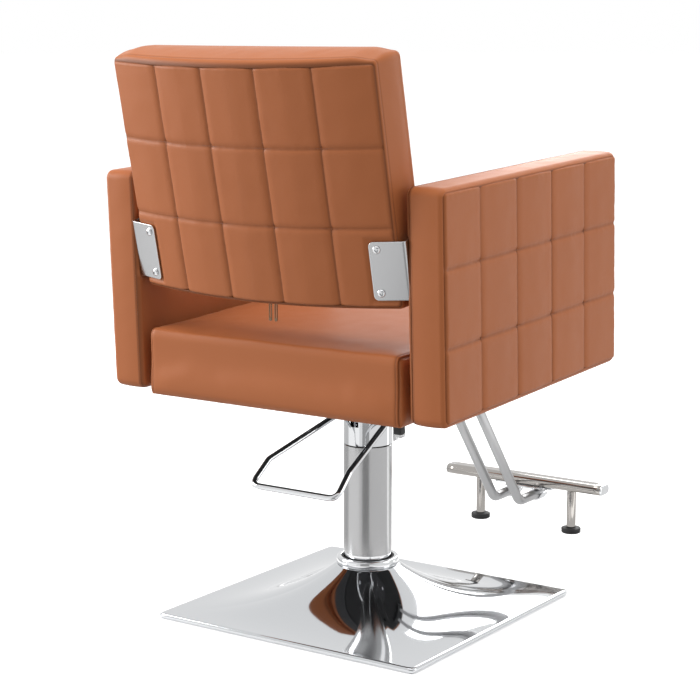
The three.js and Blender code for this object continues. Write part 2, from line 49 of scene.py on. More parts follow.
# ---- The room ----
# A pale floor under a plain bright sky and four soft boxes, as in a product studio, with dark
# and bright sheets on the floor for the metal. The camera is behind, to the sitter's right.
camera_place = Vector((-1.7942, 2.6819, 1.0093))
camera_aim = Vector((0.0255, 0.0174, 0.456))
camera_data = bpy.data.cameras.new("camera")
camera_data.lens = 98.2
camera_data.sensor_width = 36
camera = bpy.data.objects.new("camera", camera_data)
camera.location = camera_place
camera.rotation_euler = (camera_aim - camera_place).to_track_quat("-Z", "Y").to_euler()
bpy.context.scene.collection.objects.link(camera)
bpy.context.scene.camera = camera
bpy.context.scene.view_settings.view_transform = "Standard"

sky = bpy.data.worlds.new("studio")
bpy.context.scene.world = sky
sky.use_nodes = True
links, nodes = sky.node_tree.links, sky.node_tree.nodes
where = nodes.new("ShaderNodeTexCoord")
facing = nodes.new("ShaderNodeVectorMath")
facing.operation = "DOT_PRODUCT"
facing.inputs[1].default_value = (-0.60, 0.80, 0.0)
fade = nodes.new("ShaderNodeValToRGB")
fade.color_ramp.elements[0].color = (1.0, 1.0, 1.0, 1)
fade.color_ramp.elements[0].position = 0.72
fade.color_ramp.elements[1].color = (0.32, 0.32, 0.33, 1)
fade.color_ramp.elements[1].position = 0.97
links.new(where.outputs["Generated"], facing.inputs[0])
links.new(facing.outputs["Value"], fade.inputs[0])
links.new(fade.outputs["Color"], nodes["Background"].inputs["Color"])
nodes["Background"].inputs["Strength"].default_value = 1.0


def soft_box(name, place, aim, wide, tall, watts):
    data = bpy.data.lights.new(name, "AREA")
    data.shape = "RECTANGLE"
    data.size, data.size_y, data.energy = wide, tall, watts
    lamp = bpy.data.objects.new(name, data)
    lamp.location = place
    lamp.rotation_euler = (Vector(aim) - Vector(place)).to_track_quat("-Z", "Y").to_euler()
    bpy.context.scene.collection.objects.link(lamp)


soft_box("key_box", (2.4, 1.3, 1.4), (0, 0, 0.6), 1.2, 1.5, 60)
soft_box("top_box", (0.0, 0.2, 3.2), (0, 0, 0.4), 2.4, 2.4, 40)


soft_box("side_box", (-2.2, -0.8, 0.9), (-0.3, 0, 0.6), 1.0, 1.4, 8)
soft_box("front_box", (0.3, -2.4, 1.3), (0, 0, 0.45), 1.6, 1.0, 26)


def floor_sheet(name, turn, half_turn, near, glow, in_metal=True):
    """A fan of sheeting round the chair, seen only in bright metal or else only by matt faces."""
    steps = max(2, round(half_turn / 3))
    bm = bmesh.new()
    bmesh.ops.create_grid(bm, x_segments=steps, y_segments=4, size=0.5)
    for v in bm.verts:
        angle = math.radians(turn + 2 * half_turn * v.co.x)
        far = near + (4.0 - near) * (v.co.y + 0.5)
        level = 0.002 + 0.001 * (half_turn < 90) if in_metal else -0.002
        v.co = (far * math.cos(angle), far * math.sin(angle), level)
    mesh = bpy.data.meshes.new(name)
    bm.to_mesh(mesh)
    bm.free()
    made = bpy.data.objects.new(name, mesh)
    bpy.context.scene.collection.objects.link(made)
    paint = bpy.data.materials.new(name)
    paint.use_nodes = True
    shader = paint.node_tree.nodes["Principled BSDF"]
    shader.inputs["Base Color"].default_value = (0, 0, 0, 1)
    shader.inputs["Specular IOR Level"].default_value = 0.0
    shader.inputs["Emission Color"].default_value = (1, 1, 1, 1)
    shader.inputs["Emission Strength"].default_value = glow
    mesh.materials.append(paint)
    made.visible_camera = made.visible_shadow = made.visible_transmission = False
    made.visible_diffuse = not in_metal
    made.visible_glossy = in_metal


floor_sheet("sheet_shade", 0, 180, 0.05, 0.52, False)
floor_sheet("sheet_white", 0, 180, 0.39, 0.98)
floor_sheet("sheet_bright", 54, 30, 0.40, 1.25)
floor_sheet("sheet_dark", 114, 16, 0.40, 0.42)
floor_sheet("sheet_grey", -6, 24, 0.40, 0.70)
floor_sheet("sheet_strip", 234, 5, 0.40, 2.2)

floor_bm = bmesh.new()
bmesh.ops.create_circle(floor_bm, cap_ends=True, segments=64, radius=60)
floor_mesh = bpy.data.meshes.new("floor")
floor_bm.to_mesh(floor_mesh)
floor = bpy.data.objects.new("floor", floor_mesh)
bpy.context.scene.collection.objects.link(floor)
floor_paint = bpy.data.materials.new("floor_paint")
floor_paint.use_nodes = True
floor_shader = floor_paint.node_tree.nodes["Principled BSDF"]
floor_shader.inputs["Base Color"].default_value = (0.93, 0.93, 0.93, 1)
floor_shader.inputs["Roughness"].default_value = 0.9
floor_shader.inputs["Emission Color"].default_value = (1, 1, 1, 1)
floor_shader.inputs["Emission Strength"].default_value = 0.22
floor_mesh.materials.append(floor_paint)
floor.visible_diffuse = False


# ---- The base cover ----
# One sheet of steel pressed into a low square spire, plated bright, with a rolled lip round
# its edge. It lies over the base plate and the foot of the column.
BASE_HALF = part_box("base_cover")[1].x
COVER_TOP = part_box("base_cover")[1].z
COVER_LIP = 10 * MM
COVER_CORNER = 7 * MM
COVER_HOLLOW = 2.4
NECK_R = 43.5 * MM
RING_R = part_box("cover_ring")[1].x


def principled(name, metallic=0.0, roughness=0.5, colour=(0.8, 0.8, 0.8)):
    material = bpy.data.materials.new(name)
    material.use_nodes = True
    shader = material.node_tree.nodes["Principled BSDF"]
    shader.inputs["Metallic"].default_value = metallic
    shader.inputs["Roughness"].default_value = roughness
    shader.inputs["Base Color"].default_value = (*colour, 1)
    return material, shader


def node_group(name, ins, outs):
    """A shared shader group with named float inputs and outputs of the given kinds."""
    group = bpy.data.node_groups.new(name, "ShaderNodeTree")
    for label, value in ins.items():
        socket = group.interface.new_socket(label, in_out="INPUT", socket_type="NodeSocketFloat")
        socket.default_value = value
    for label, kind in outs.items():
        group.interface.new_socket(label, in_out="OUTPUT", socket_type="NodeSocket" + kind)
    return group, group.nodes.new("NodeGroupInput"), group.nodes.new("NodeGroupOutput")


def noise_node(tree, scale, detail=3.0, stretch=(1, 1, 1)):
    """Noise on the piece's own coordinates; returns its value socket."""
    place = tree.nodes.new("ShaderNodeTexCoord")
    mapping = tree.nodes.new("ShaderNodeMapping")
    mapping.inputs["Scale"].default_value = stretch
    texture = tree.nodes.new("ShaderNodeTexNoise")
    texture.inputs["Scale"].default_value = scale
    texture.inputs["Detail"].default_value = detail
    tree.links.new(place.outputs["Object"], mapping.inputs["Vector"])
    tree.links.new(mapping.outputs["Vector"], texture.inputs["Vector"])
    return texture.outputs["Fac"]


def ranged(tree, value, low, high):
    """A value from 0 to 1 turned into one from low to high."""
    node = tree.nodes.new("ShaderNodeMapRange")
    node.inputs["To Min"].default_value = low
    node.inputs["To Max"].default_value = high
    tree.links.new(value, node.inputs["Value"])
    return node.outputs["Result"]


def roughen(tree, shader, height, deep, strength=1.0):
    """Raises a surface by a height from 0 to 1, by so many metres at most."""
    bump = tree.nodes.new("ShaderNodeBump")
    bump.inputs["Strength"].default_value = strength
    bump.inputs["Distance"].default_value = deep
    tree.links.new(height, bump.inputs["Height"])
    tree.links.new(bump.outputs["Normal"], shader.inputs["Normal"])


def make_handled_group():
    """Faint wiping marks and dust: what a hand and a cloth leave on plated steel."""
    group, entry, way_out = node_group("handled_metal", {"Amount": 0.03}, {"Roughness": "Float"})
    smear = noise_node(group, 14, 5, (1, 1, 0.35))
    low = group.nodes.new("ShaderNodeMath")
    low.operation = "MULTIPLY_ADD"
    low.inputs[2].default_value = 0.035
    group.links.new(smear, low.inputs[0])
    group.links.new(entry.outputs["Amount"], low.inputs[1])
    group.links.new(low.outputs[0], way_out.inputs["Roughness"])
    return group


handled_group = make_handled_group()


def plated(name, colour, amount=0.03, ripple=0.0):
    """Mirror plating; ripple is how far the sheet under it waves, in metres."""
    material, shader = principled(name, 1.0, 0.05, colour)
    tree = material.node_tree
    marks = tree.nodes.new("ShaderNodeGroup")
    marks.node_tree = handled_group
    marks.inputs["Amount"].default_value = amount
    tree.links.new(marks.outputs["Roughness"], shader.inputs["Roughness"])
    if ripple:
        roughen(tree, shader, noise_node(tree, 9, 1.5), ripple)
    return material


def face_out(bm, middle=None):
    """Merges doubles and turns every face away from the middle."""
    bmesh.ops.remove_doubles(bm, verts=bm.verts, dist=2e-6)
    bmesh.ops.recalc_face_normals(bm, faces=bm.faces)
    if middle is not None:
        out = sum(f.normal.dot(f.calc_center_median() - Vector(middle)) * f.calc_area() for f in bm.faces)
        if out < 0:
            bmesh.ops.reverse_faces(bm, faces=bm.faces)


def piece(name, bm, material, body, sharp=35.0):
    """Makes a named object of a bmesh, smooth but for edges over the sharp angle, on a body."""
    mesh = bpy.data.meshes.new(name)
    bm.to_mesh(mesh)
    bm.free()
    mesh.materials.append(material)
    mesh.shade_smooth()
    mesh.set_sharp_from_angle(angle=math.radians(sharp))
    made = bpy.data.objects.new(name, mesh)
    bpy.context.scene.collection.objects.link(made)
    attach(made, body)
    return made


def grid(across, along, place):
    """A sheet of quads put in place by a function of two shares from 0 to 1."""
    bm = bmesh.new()
    bmesh.ops.create_grid(bm, x_segments=across, y_segments=along, size=0.5)
    for v in bm.verts:
        v.co = place(v.co.x + 0.5, v.co.y + 0.5)
    return bm


def thicken(made, thick):
    wall = made.modifiers.new("wall", "SOLIDIFY")
    wall.thickness = thick
    wall.offset = -1
    return made


def cover_height(x, y):
    half = BASE_HALF - 2.5 * MM
    reach = max(abs(x), abs(y)) / BASE_HALF
    power = 2 + 6 * reach ** 2
    out = (abs(x) ** power + abs(y) ** power) ** (1 / power)
    along = min(max((out - RING_R) / (half - RING_R), 0), 1)
    return COVER_LIP + (COVER_TOP - COVER_LIP) * (1 - along) ** COVER_HOLLOW


def square_reach(angle, half, corner):
    """How far a square with round corners reaches from its middle at an angle."""
    c, s = abs(math.cos(angle)), abs(math.sin(angle))
    flat = half / max(c, s)
    inner = half - corner
    turn = inner * (c + s)
    root = turn * turn - 2 * inner * inner + corner * corner
    if flat * min(c, s) <= inner or root < 0:
        return flat
    return turn + math.sqrt(root)


# Each step of the lip: how far in from the edge, and how high.
lip_steps = [(5.0, 10.1), (3.4, 9.9), (2.0, 9.2), (0.9, 7.9), (0.3, 6.0), (0.3, 3.6), (0.9, 2.0), (1.9, 1.2)]
lip_steps += [(2.6, 0.9), (3.4, 0.4)]
SLOPE_ROWS = 70
COVER_ROWS = SLOPE_ROWS + len(lip_steps)


def on_cover(around, out):
    angle = around * 2 * math.pi
    aim = Vector((math.cos(angle), math.sin(angle)))
    row = round(out * COVER_ROWS)
    if row > SLOPE_ROWS:
        inset, high = lip_steps[row - SLOPE_ROWS - 1]
        spot = aim * square_reach(angle, BASE_HALF - inset * MM, COVER_CORNER - inset * MM * 0.6)
        return Vector((spot.x, spot.y, high * MM))
    share = row / SLOPE_ROWS
    edge = square_reach(angle, BASE_HALF - 7 * MM, COVER_CORNER)
    spot = aim * (NECK_R + (edge - NECK_R) * share)
    return Vector((spot.x, spot.y, cover_height(spot.x, spot.y) + 0.1 * MM * share))


chrome = plated("chrome", (0.66, 0.668, 0.68), 0.03)
cover_chrome = plated("cover_chrome", (0.60, 0.612, 0.628), 0.03, 0.15 * MM)
cover_bm = grid(320, COVER_ROWS, on_cover)
face_out(cover_bm, (0, 0, -0.5))
cover = piece("base_cover_plated", cover_bm, cover_chrome, "base", 60)
thicken(cover, 1.2 * MM)
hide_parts("base_cover")


# ---- The ring and gasket at the column's foot ----
# A turned collar, plated bright, dropped over the column onto the cover, with a black
# rubber ring inside it. The column's satin sleeve stops short of it and shows the bright tube.
def spun(profile, steps=96):
    """A turned body: pairs of radius and height in millimetres, joined into a closed outline."""
    bm = bmesh.new()
    spots = [bm.verts.new((r * MM, 0, z * MM)) for r, z in profile]
    closed = profile[0][0] > 0 or profile[-1][0] > 0
    ends = spots[1:] + spots[:1] if closed else spots[1:]
    edges = [bm.edges.new(pair) for pair in zip(spots, ends)]
    bmesh.ops.spin(
        bm, geom=spots + edges, axis=(0, 0, 1), cent=(0, 0, 0),
        angle=2 * math.pi, steps=steps, use_merge=True,
    )
    bmesh.ops.remove_doubles(bm, verts=bm.verts, dist=1e-6)
    bmesh.ops.recalc_face_normals(bm, faces=bm.faces)
    return bm


ring_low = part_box("cover_ring")[0].z / MM
ring_profile = [(45.5, ring_low), (53, ring_low), (53.7, ring_low + 0.7), (54, ring_low + 2)]
ring_profile += [(54, ring_low + 10.5), (53.6, ring_low + 12.2), (52.4, ring_low + 13.6)]
ring_profile += [(50.8, ring_low + 14), (47.6, ring_low + 14), (46.2, ring_low + 13.4), (45.5, ring_low + 12)]
ring = piece("cover_ring_plated", spun(ring_profile), chrome, "base")
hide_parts("cover_ring")

rubber, rubber_shader = principled("black_rubber", 0.0, 0.6, (0.012, 0.012, 0.013))
roughen(rubber.node_tree, rubber_shader, noise_node(rubber.node_tree, 1400, 2), 0.15 * MM)
rubber.node_tree.links.new(
    ranged(rubber.node_tree, noise_node(rubber.node_tree, 60), 0.5, 0.75), rubber_shader.inputs["Roughness"],
)
gasket_profile = [(42.1, ring_low), (45.3, ring_low), (45.3, ring_low + 12.4), (44.4, ring_low + 13.4)]
gasket_profile += [(43.0, ring_low + 13.4), (42.1, ring_low + 12.6)]
gasket = piece("column_gasket_ring", spun(gasket_profile), rubber, "base")
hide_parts("column_gasket")


# ---- The column ----
# A steel tube with a satin sleeve over all but its bright foot, standing on a welded
# flange. The ram inside it is ground and plated, and it carries the head.
SLEEVE_LOW = 101.3
TUBE_R = 42.0
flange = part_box("column_tube")
tube_top = flange[1].z / MM


def brushed(name, colour, rough, run):
    """Satin metal whose fine scratches run along the axis that is left short in run."""
    material, shader = principled(name, 1.0, rough, colour)
    tree = material.node_tree
    lines = noise_node(tree, 900, 3, run)
    tree.links.new(ranged(tree, lines, rough - 0.05, rough + 0.07), shader.inputs["Roughness"])
    roughen(tree, shader, lines, 0.02 * MM, 0.35)
    return material


satin = brushed("satin_sleeve", (0.43, 0.43, 0.433), 0.2, (1, 1, 0.02))
sleeve_profile = [(40.6, SLEEVE_LOW), (41.6, SLEEVE_LOW), (TUBE_R, SLEEVE_LOW + 0.5)]
sleeve_profile += [(TUBE_R, tube_top - 0.6), (41.5, tube_top), (40.6, tube_top)]
piece("column_sleeve", spun(sleeve_profile, 128), satin, "base")

foot_profile = [(39, 6.3), (82, 6.3), (82, 14.3), (40.5, 14.3), (40.5, tube_top - 0.3), (39, tube_top - 0.3)]
tube = piece("column_tube_bright", spun(foot_profile, 128), chrome, "base")
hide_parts("column_tube")

ram_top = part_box("ram")[1].z / MM
ram_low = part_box("ram")[0].z / MM
ram_profile = [(0, ram_low), (24, ram_low), (25, ram_low + 1), (25, ram_top - 1), (24, ram_top), (0, ram_top)]
ram = piece("ram_ground", spun(ram_profile, 64), chrome, "chair")
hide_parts("ram")


# ---- The swivel head and pump lever ----
# A plated steel cap on the ram, slotted at the back for the lever's nose. The lever is one
# bent rod, welded at both ends to round hubs on a pin through the head.
head_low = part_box("swivel_head")[0].z / MM
head_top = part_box("swivel_head")[1].z / MM
LEVER_Z = 346.0
LEVER_ROD_R = 5.5
LEVER_BEND_R = 16.0
HUB_R = 11.0


def add_block(bm, turn, across, along, tall):
    """Adds a block of the given sizes in millimetres, set in place by a matrix."""
    made = bmesh.ops.create_cube(bm, size=1)["verts"]
    sizes = Matrix.Diagonal((across * MM, along * MM, tall * MM, 1))
    bmesh.ops.transform(bm, matrix=turn @ sizes, verts=made)


head_profile = [(25.3, head_low), (41.2, head_low), (TUBE_R, head_low + 0.8), (TUBE_R, head_top - 13)]
head_profile += [(41.5, head_top - 11), (32.5, head_top - 0.8), (31, head_top), (0, head_top)]
head_profile += [(0, ram_top + 0.3), (25.3, ram_top + 0.3)]
head = piece("swivel_head_plated", spun(head_profile, 128), chrome, "chair")
slot_bm = bmesh.new()
add_block(slot_bm, Matrix.Translation((0, 16.5 * MM, 344 * MM)), 16, 61, 32)


def cut_away(made, tool_bm):
    """Cuts a shape out of a piece for good."""
    mesh = bpy.data.meshes.new("tool")
    tool_bm.to_mesh(mesh)
    tool_bm.free()
    tool = bpy.data.objects.new("tool", mesh)
    bpy.context.scene.collection.objects.link(tool)
    knife = made.modifiers.new("cut", "BOOLEAN")
    knife.operation = "DIFFERENCE"
    knife.object = tool
    knife.solver = "EXACT"
    bpy.context.view_layer.update()
    whole = made.evaluated_get(bpy.context.evaluated_depsgraph_get())
    made.data = bpy.data.meshes.new_from_object(whole)
    made.modifiers.clear()
    bpy.data.objects.remove(tool)


cut_away(head, slot_bm)
head.data.set_sharp_from_angle(angle=math.radians(35))
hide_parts("swivel_head")


def bent_rod(name, points, radius, bend, sides=5):
    """A closed round bar through the points, in metres, with its corners bent to a radius."""
    curve = bpy.data.curves.new(name, "CURVE")
    curve.dimensions = "3D"
    curve.bevel_depth = radius
    curve.bevel_resolution = sides
    curve.use_fill_caps = True
    path = [Vector(points[0])]
    for before, corner, after in zip(points, points[1:], points[2:]):
        into = (Vector(before) - Vector(corner)).normalized()
        away = (Vector(after) - Vector(corner)).normalized()
        back = bend / math.tan(into.angle(away) / 2)
        start, end = Vector(corner) + into * back, Vector(corner) + away * back
        for step in range(13):
            t = step / 12
            path.append(start * (1 - t) ** 2 + Vector(corner) * (2 * t * (1 - t)) + end * t * t)
    path.append(Vector(points[-1]))
    spline = curve.splines.new("POLY")
    spline.points.add(len(path) - 1)
    for point, spot in zip(spline.points, path):
        point.co = (*spot, 1)
    holder = bpy.data.objects.new(name, curve)
    bpy.context.scene.collection.objects.link(holder)
    bpy.context.view_layer.update()
    mesh = bpy.data.meshes.new_from_object(holder.evaluated_get(bpy.context.evaluated_depsgraph_get()))
    bpy.data.objects.remove(holder)
    bm = bmesh.new()
    bm.from_mesh(mesh)
    bpy.data.meshes.remove(mesh)
    bmesh.ops.remove_doubles(bm, verts=bm.verts, dist=1e-6)
    bmesh.ops.recalc_face_normals(bm, faces=bm.faces)
    return bm


def add_turned(bm, profile, turn, steps=32):
    """Adds a turned body to a bmesh, set in place by a matrix."""
    extra = spun(profile, steps)
    extra.transform(turn)
    mesh = bpy.data.meshes.new("turned")
    extra.to_mesh(mesh)
    extra.free()
    bm.from_mesh(mesh)
    bpy.data.meshes.remove(mesh)


hub_mid = (44 + 6) * MM
lever_turns = [(50, 4, 2), (82, 176, 59), (86, 220, 95)]
lever_half = [Vector((x * MM, y * MM, (LEVER_Z - drop) * MM)) for x, y, drop in lever_turns]
lever_path = [Vector((-p.x, p.y, p.z)) for p in lever_half] + lever_half[::-1]
lever_bm = bent_rod("lever_rod", lever_path, LEVER_ROD_R * MM, LEVER_BEND_R * MM)
sideways = Matrix.Rotation(math.pi / 2, 4, "Y")
for side in (-1, 1):
    hub_turn = Matrix.Translation((side * hub_mid, 0, LEVER_Z * MM)) @ sideways
    add_turned(lever_bm, [(0, -6), (10.2, -6), (HUB_R, -5.2), (HUB_R, 5.2), (10.2, 6), (0, 6)], hub_turn)
pin_turn = Matrix.Translation((0, 0, LEVER_Z * MM)) @ sideways
add_turned(lever_bm, [(0, -57.5), (5.2, -57.5), (6, -56.7), (6, 56.7), (5.2, 57.5), (0, 57.5)], pin_turn)
add_turned(lever_bm, [(0, -7), (HUB_R, -7), (HUB_R, 7), (0, 7)], pin_turn)
add_block(lever_bm, Matrix.Translation((0, 9.5 * MM, 339.5 * MM)), 14, 19, 9)
lever = piece("pump_lever_plated", lever_bm, chrome, "pump_lever")
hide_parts("pump_lever")


# ---- The leather-look cloth ----
# Coated upholstery cloth in one tan colour: a fine pebbled grain and a soft sheen, with painted
# shade darkening it where it is drawn down into a seam.
def make_hide_group():
    """Grain height, tone from 0 to 1, and gloss change for coated cloth."""
    group, entry, way_out = node_group(
        "hide", {"Grain": 1.0}, {"Height": "Float", "Tone": "Float", "Gloss": "Float"},
    )
    place = group.nodes.new("ShaderNodeTexCoord")
    pebble = group.nodes.new("ShaderNodeTexVoronoi")
    pebble.feature = "SMOOTH_F1"
    pebble.inputs["Scale"].default_value = 780
    pebble.inputs["Smoothness"].default_value = 0.6
    group.links.new(place.outputs["Object"], pebble.inputs["Vector"])
    fine = noise_node(group, 2200, 2)
    mixed = group.nodes.new("ShaderNodeMath")
    mixed.operation = "MULTIPLY_ADD"
    mixed.inputs[1].default_value = 0.4
    group.links.new(fine, mixed.inputs[0])
    group.links.new(pebble.outputs["Distance"], mixed.inputs[2])
    scaled = group.nodes.new("ShaderNodeMath")
    scaled.operation = "MULTIPLY"
    group.links.new(mixed.outputs[0], scaled.inputs[0])
    group.links.new(entry.outputs["Grain"], scaled.inputs[1])
    group.links.new(scaled.outputs[0], way_out.inputs["Height"])
    group.links.new(noise_node(group, 6.5, 5), way_out.inputs["Tone"])
    group.links.new(noise_node(group, 38, 4), way_out.inputs["Gloss"])
    return group


hide_group = make_hide_group()


def hide(name, light, dark, seam_shade_colour, rough=0.43):
    """Coated cloth; its seam attribute darkens it towards the seam colour, painted shade in the seams'
    grooves.
    """
    material, shader = principled(name, 0.0, rough, light)
    tree = material.node_tree
    grain = tree.nodes.new("ShaderNodeGroup")
    grain.node_tree = hide_group
    tone = tree.nodes.new("ShaderNodeMix")
    tone.data_type = "RGBA"
    tone.inputs["A"].default_value = (*dark, 1)
    tone.inputs["B"].default_value = (*light, 1)
    tree.links.new(grain.outputs["Tone"], tone.inputs["Factor"])
    seam_shade = tree.nodes.new("ShaderNodeAttribute")
    seam_shade.attribute_name = "seam_shade"
    seam_shaded = tree.nodes.new("ShaderNodeMix")
    seam_shaded.data_type = "RGBA"
    seam_shaded.inputs["B"].default_value = (*seam_shade_colour, 1)
    tree.links.new(tone.outputs["Result"], seam_shaded.inputs["A"])
    tree.links.new(seam_shade.outputs["Fac"], seam_shaded.inputs["Factor"])
    tree.links.new(seam_shaded.outputs["Result"], shader.inputs["Base Color"])
    gloss = ranged(tree, grain.outputs["Gloss"], rough - 0.06, rough + 0.08)
    tree.links.new(gloss, shader.inputs["Roughness"])
    roughen(tree, shader, grain.outputs["Height"], 0.12 * MM, 0.5)
    shader.inputs["Specular IOR Level"].default_value = 0.16
    shader.inputs["Sheen Weight"].default_value = 0.03
    shader.inputs["Sheen Roughness"].default_value = 0.4
    shader.inputs["Sheen Tint"].default_value = (1.0, 0.85, 0.7, 1)
    return material


# The third colour is painted shade, laid into the seams' grooves by the seam attribute.
tan = hide("tan_hide", (0.408, 0.129, 0.044), (0.365, 0.113, 0.038), (0.15, 0.045, 0.014))
thread, thread_shader = principled("tan_thread", 0.0, 0.55, (0.25, 0.078, 0.027))
roughen(thread.node_tree, thread_shader, noise_node(thread.node_tree, 3000, 1), 0.1 * MM)

seat_frame = Matrix.Translation((0, 0, 410 * MM)) @ Matrix.Rotation(math.radians(-2.5), 4, "X")
back_on_seat = Matrix.Translation((0, 270.5 * MM, 187 * MM)) @ Matrix.Rotation(math.radians(-9.6), 4, "X")
back_frame = seat_frame @ back_on_seat


def round_loop(wide, tall, corner, spacing, bend=8):
    """Spots and outward directions round an upright rectangle with round corners, in millimetres."""
    rows = []
    for quarter in range(4):
        turn = quarter * math.pi / 2
        sx = 1 if quarter in (0, 3) else -1
        sy = 1 if quarter in (0, 1) else -1
        middle = Vector((sx * (wide / 2 - corner), sy * (tall / 2 - corner)))
        for step in range(bend + 1):
            angle = turn + step / bend * math.pi / 2
            aim = Vector((math.cos(angle), math.sin(angle)))
            rows.append((middle + aim * corner, aim))
        aim = Vector((math.cos(turn + math.pi / 2), math.sin(turn + math.pi / 2)))
        long = (tall if quarter % 2 else wide) - 2 * corner
        start = rows[-1][0]
        run = Vector((-aim.y, aim.x))
        count = max(2, round(long / spacing))
        rows += [(start + run * (long * i / count), aim) for i in range(1, count)]
    return rows


def boxing(loop, steps, section, place):
    """A strip sewn round a loop. section gives depth, lift and seam shade at a share across it."""
    shades = []

    def spot(around, across):
        at, aim = loop[round(around * len(loop)) % len(loop)]
        deep, lift, shade = section(across, aim, at)
        shades.append(shade)
        return place(at.x + aim.x * lift, at.y + aim.y * lift, deep)

    bm = grid(len(loop), steps, spot)
    # The seam layer holds painted shade for the cloth's colour.
    layer = bm.verts.layers.float.new("seam_shade")
    for v, shade in zip(bm.verts, shades):
        v[layer] = shade
    return bm


def smooth_step(share):
    share = min(max(share, 0.0), 1.0)
    return share * share * (3 - 2 * share)


def wrinkle(x, y, size, seed):
    """Small smooth unevenness from -1 to 1, the same each run."""
    return noise.noise(Vector((x / size, y / size, seed)))


def round_corners(u, v, half_u, half_v, corner):
    """Moves a spot of a square-cornered sheet so that the sheet's corners are round."""
    du, dv = abs(u) - (half_u - corner), abs(v) - (half_v - corner)
    if du <= 0 or dv <= 0:
        return u, v
    reach = max(du, dv) / math.hypot(du, dv)
    return (
        math.copysign(half_u - corner + du * reach, u),
        math.copysign(half_v - corner + dv * reach, v),
    )


COLUMN_REACH = 15.0
ROW_REACH = 11.0
PUFF = 2.6


def quilt(
    name, half_u, half_v, corner, columns, rows, thick, place, body, seed,
    roll=5.0, spacing=2.6, crown=0.0, press=None,
):
    """A padded panel stitched in a lattice, flat behind. place takes millimetres across, up and out;
    crown is how far its middle stands out, and press says how high it may stand at a spot."""
    across, along = round(2 * half_u / spacing), round(2 * half_v / spacing)
    bm = bmesh.new()
    bmesh.ops.create_grid(bm, x_segments=across, y_segments=along, size=0.5)
    shade = bm.verts.layers.float.new("seam_shade")
    outer = [e for e in bm.edges if e.is_boundary]
    for v in bm.verts:
        u, w = v.co.x * 2 * half_u, v.co.y * 2 * half_v
        du = min(abs(u - line) for line in columns)
        dw = min(abs(w - line) for line in rows)
        edge = min(half_u - abs(u), half_v - abs(w))
        soft_u = 1 - (1 - min(du / COLUMN_REACH, 1)) ** 2.2
        soft_w = 1 - (1 - min(dw / ROW_REACH, 1)) ** 2.2
        pillow = 1.6 * math.cos(min(du, 56) / 56 * math.pi) * -0.5
        puff = PUFF * soft_u - 2.0 * (1 - soft_w) + pillow
        crease = 1.2 * math.exp(-((du / 1.3) ** 2)) + 1.4 * math.exp(-((dw / 1.3) ** 2))
        turn = 1 - math.sqrt(max(0.0, 1 - (1 - min(edge / roll, 1)) ** 2))
        near = math.exp(-min(du, dw, edge) / 12)
        uneven = 0.5 * wrinkle(u, w, 34, seed) + 0.4 * near * wrinkle(u, w, 8, seed + 7)
        swell = crown * (max(0.0, 1 - (u / half_u) ** 2) * max(0.0, 1 - (w / half_v) ** 2)) ** 0.6
        high = puff - crease - roll * turn + uneven - PUFF + swell
        if press:
            high = min(high, press(u, w))
        # Painted shade: the seam layer darkens the cloth along the stitched channels and where the edge rolls
        # under.
        v[shade] = 0.75 * math.exp(-((du / 1.2) ** 2))
        v[shade] = max(v[shade], 0.75 * math.exp(-((dw / 1.2) ** 2)), 0.85 * math.exp(-edge / 1.2))
        u, w = round_corners(u, w, half_u, half_v, corner)
        v.co = place(u, w, high)
        v.tag = False
    rim = bmesh.ops.extrude_edge_only(bm, edges=outer)["geom"]
    rim_verts = [g for g in rim if isinstance(g, bmesh.types.BMVert)]
    rim_edges = [g for g in rim if isinstance(g, bmesh.types.BMEdge)]
    inward = place(0, 0, -thick) - place(0, 0, -8.0)
    bmesh.ops.translate(bm, vec=inward, verts=rim_verts)
    bmesh.ops.edgeloop_fill(bm, edges=[e for e in rim_edges if e.is_boundary])
    bmesh.ops.recalc_face_normals(bm, faces=bm.faces)
    made = piece(name, bm, tan, body, 70)
    return made


def stitches(name, rows, body, pitch=4.6, long=3.2, radius=0.33):
    """Rows of thread, each row a list of (spot, outward direction) in metres, as one piece."""
    curve = bpy.data.curves.new(name, "CURVE")
    curve.dimensions = "3D"
    curve.bevel_depth = radius * MM
    curve.bevel_resolution = 1
    curve.use_fill_caps = True
    for row in rows:
        gone, due = 0.0, 0.0
        for (a, out), (b, _) in zip(row, row[1:]):
            length = (b - a).length
            if length < 1e-7:
                continue
            aim = (b - a) / length
            while due < gone + length:
                middle = a + aim * (due - gone)
                spline = curve.splines.new("POLY")
                spline.points.add(2)
                half = aim * (long * MM / 2)
                sunk = out * 0.35 * MM
                spots = (middle - half - sunk, middle + out * 0.12 * MM, middle + half - sunk)
                for point, spot in zip(spline.points, spots):
                    point.co = (*spot, 1)
                due += pitch * MM
            gone += length
    holder = bpy.data.objects.new(name, curve)
    bpy.context.scene.collection.objects.link(holder)
    bpy.context.view_layer.update()
    mesh = bpy.data.meshes.new_from_object(holder.evaluated_get(bpy.context.evaluated_depsgraph_get()))
    bpy.data.objects.remove(holder)
    bm = bmesh.new()
    bm.from_mesh(mesh)
    bpy.data.meshes.remove(mesh)
    bmesh.ops.recalc_face_normals(bm, faces=bm.faces)
    return piece(name, bm, thread, body, 60)


# ---- The arms ----
# Each arm is a board padded both sides. A strip is sewn round its edge; the outer face is
# quilted five by three and stands over the strip, and the inner face is plain and top-stitched.
ARM_INSIDE = 267.0
ARM_THICK = 62.0
ARM_LONG = 566.0
ARM_TALL = 366.0
ARM_MID_Y = -2.0
ARM_MID_Z = 188.5
ARM_CORNER = 14.0
QUILT_THICK = 9.0
OUTER_ROUND = 11.0
LINING_OUT = 2.2
INNER_ROLL = 5.2
LINING_SEAM = INNER_ROLL - LINING_OUT


def arm_place(side):
    """Takes along, up and depth from the inner face in millimetres to a place on an arm."""
    def place(along, up, deep):
        spot = Vector((side * (ARM_INSIDE + deep), ARM_MID_Y + along, ARM_MID_Z + up)) * MM
        return seat_frame @ spot
    return place


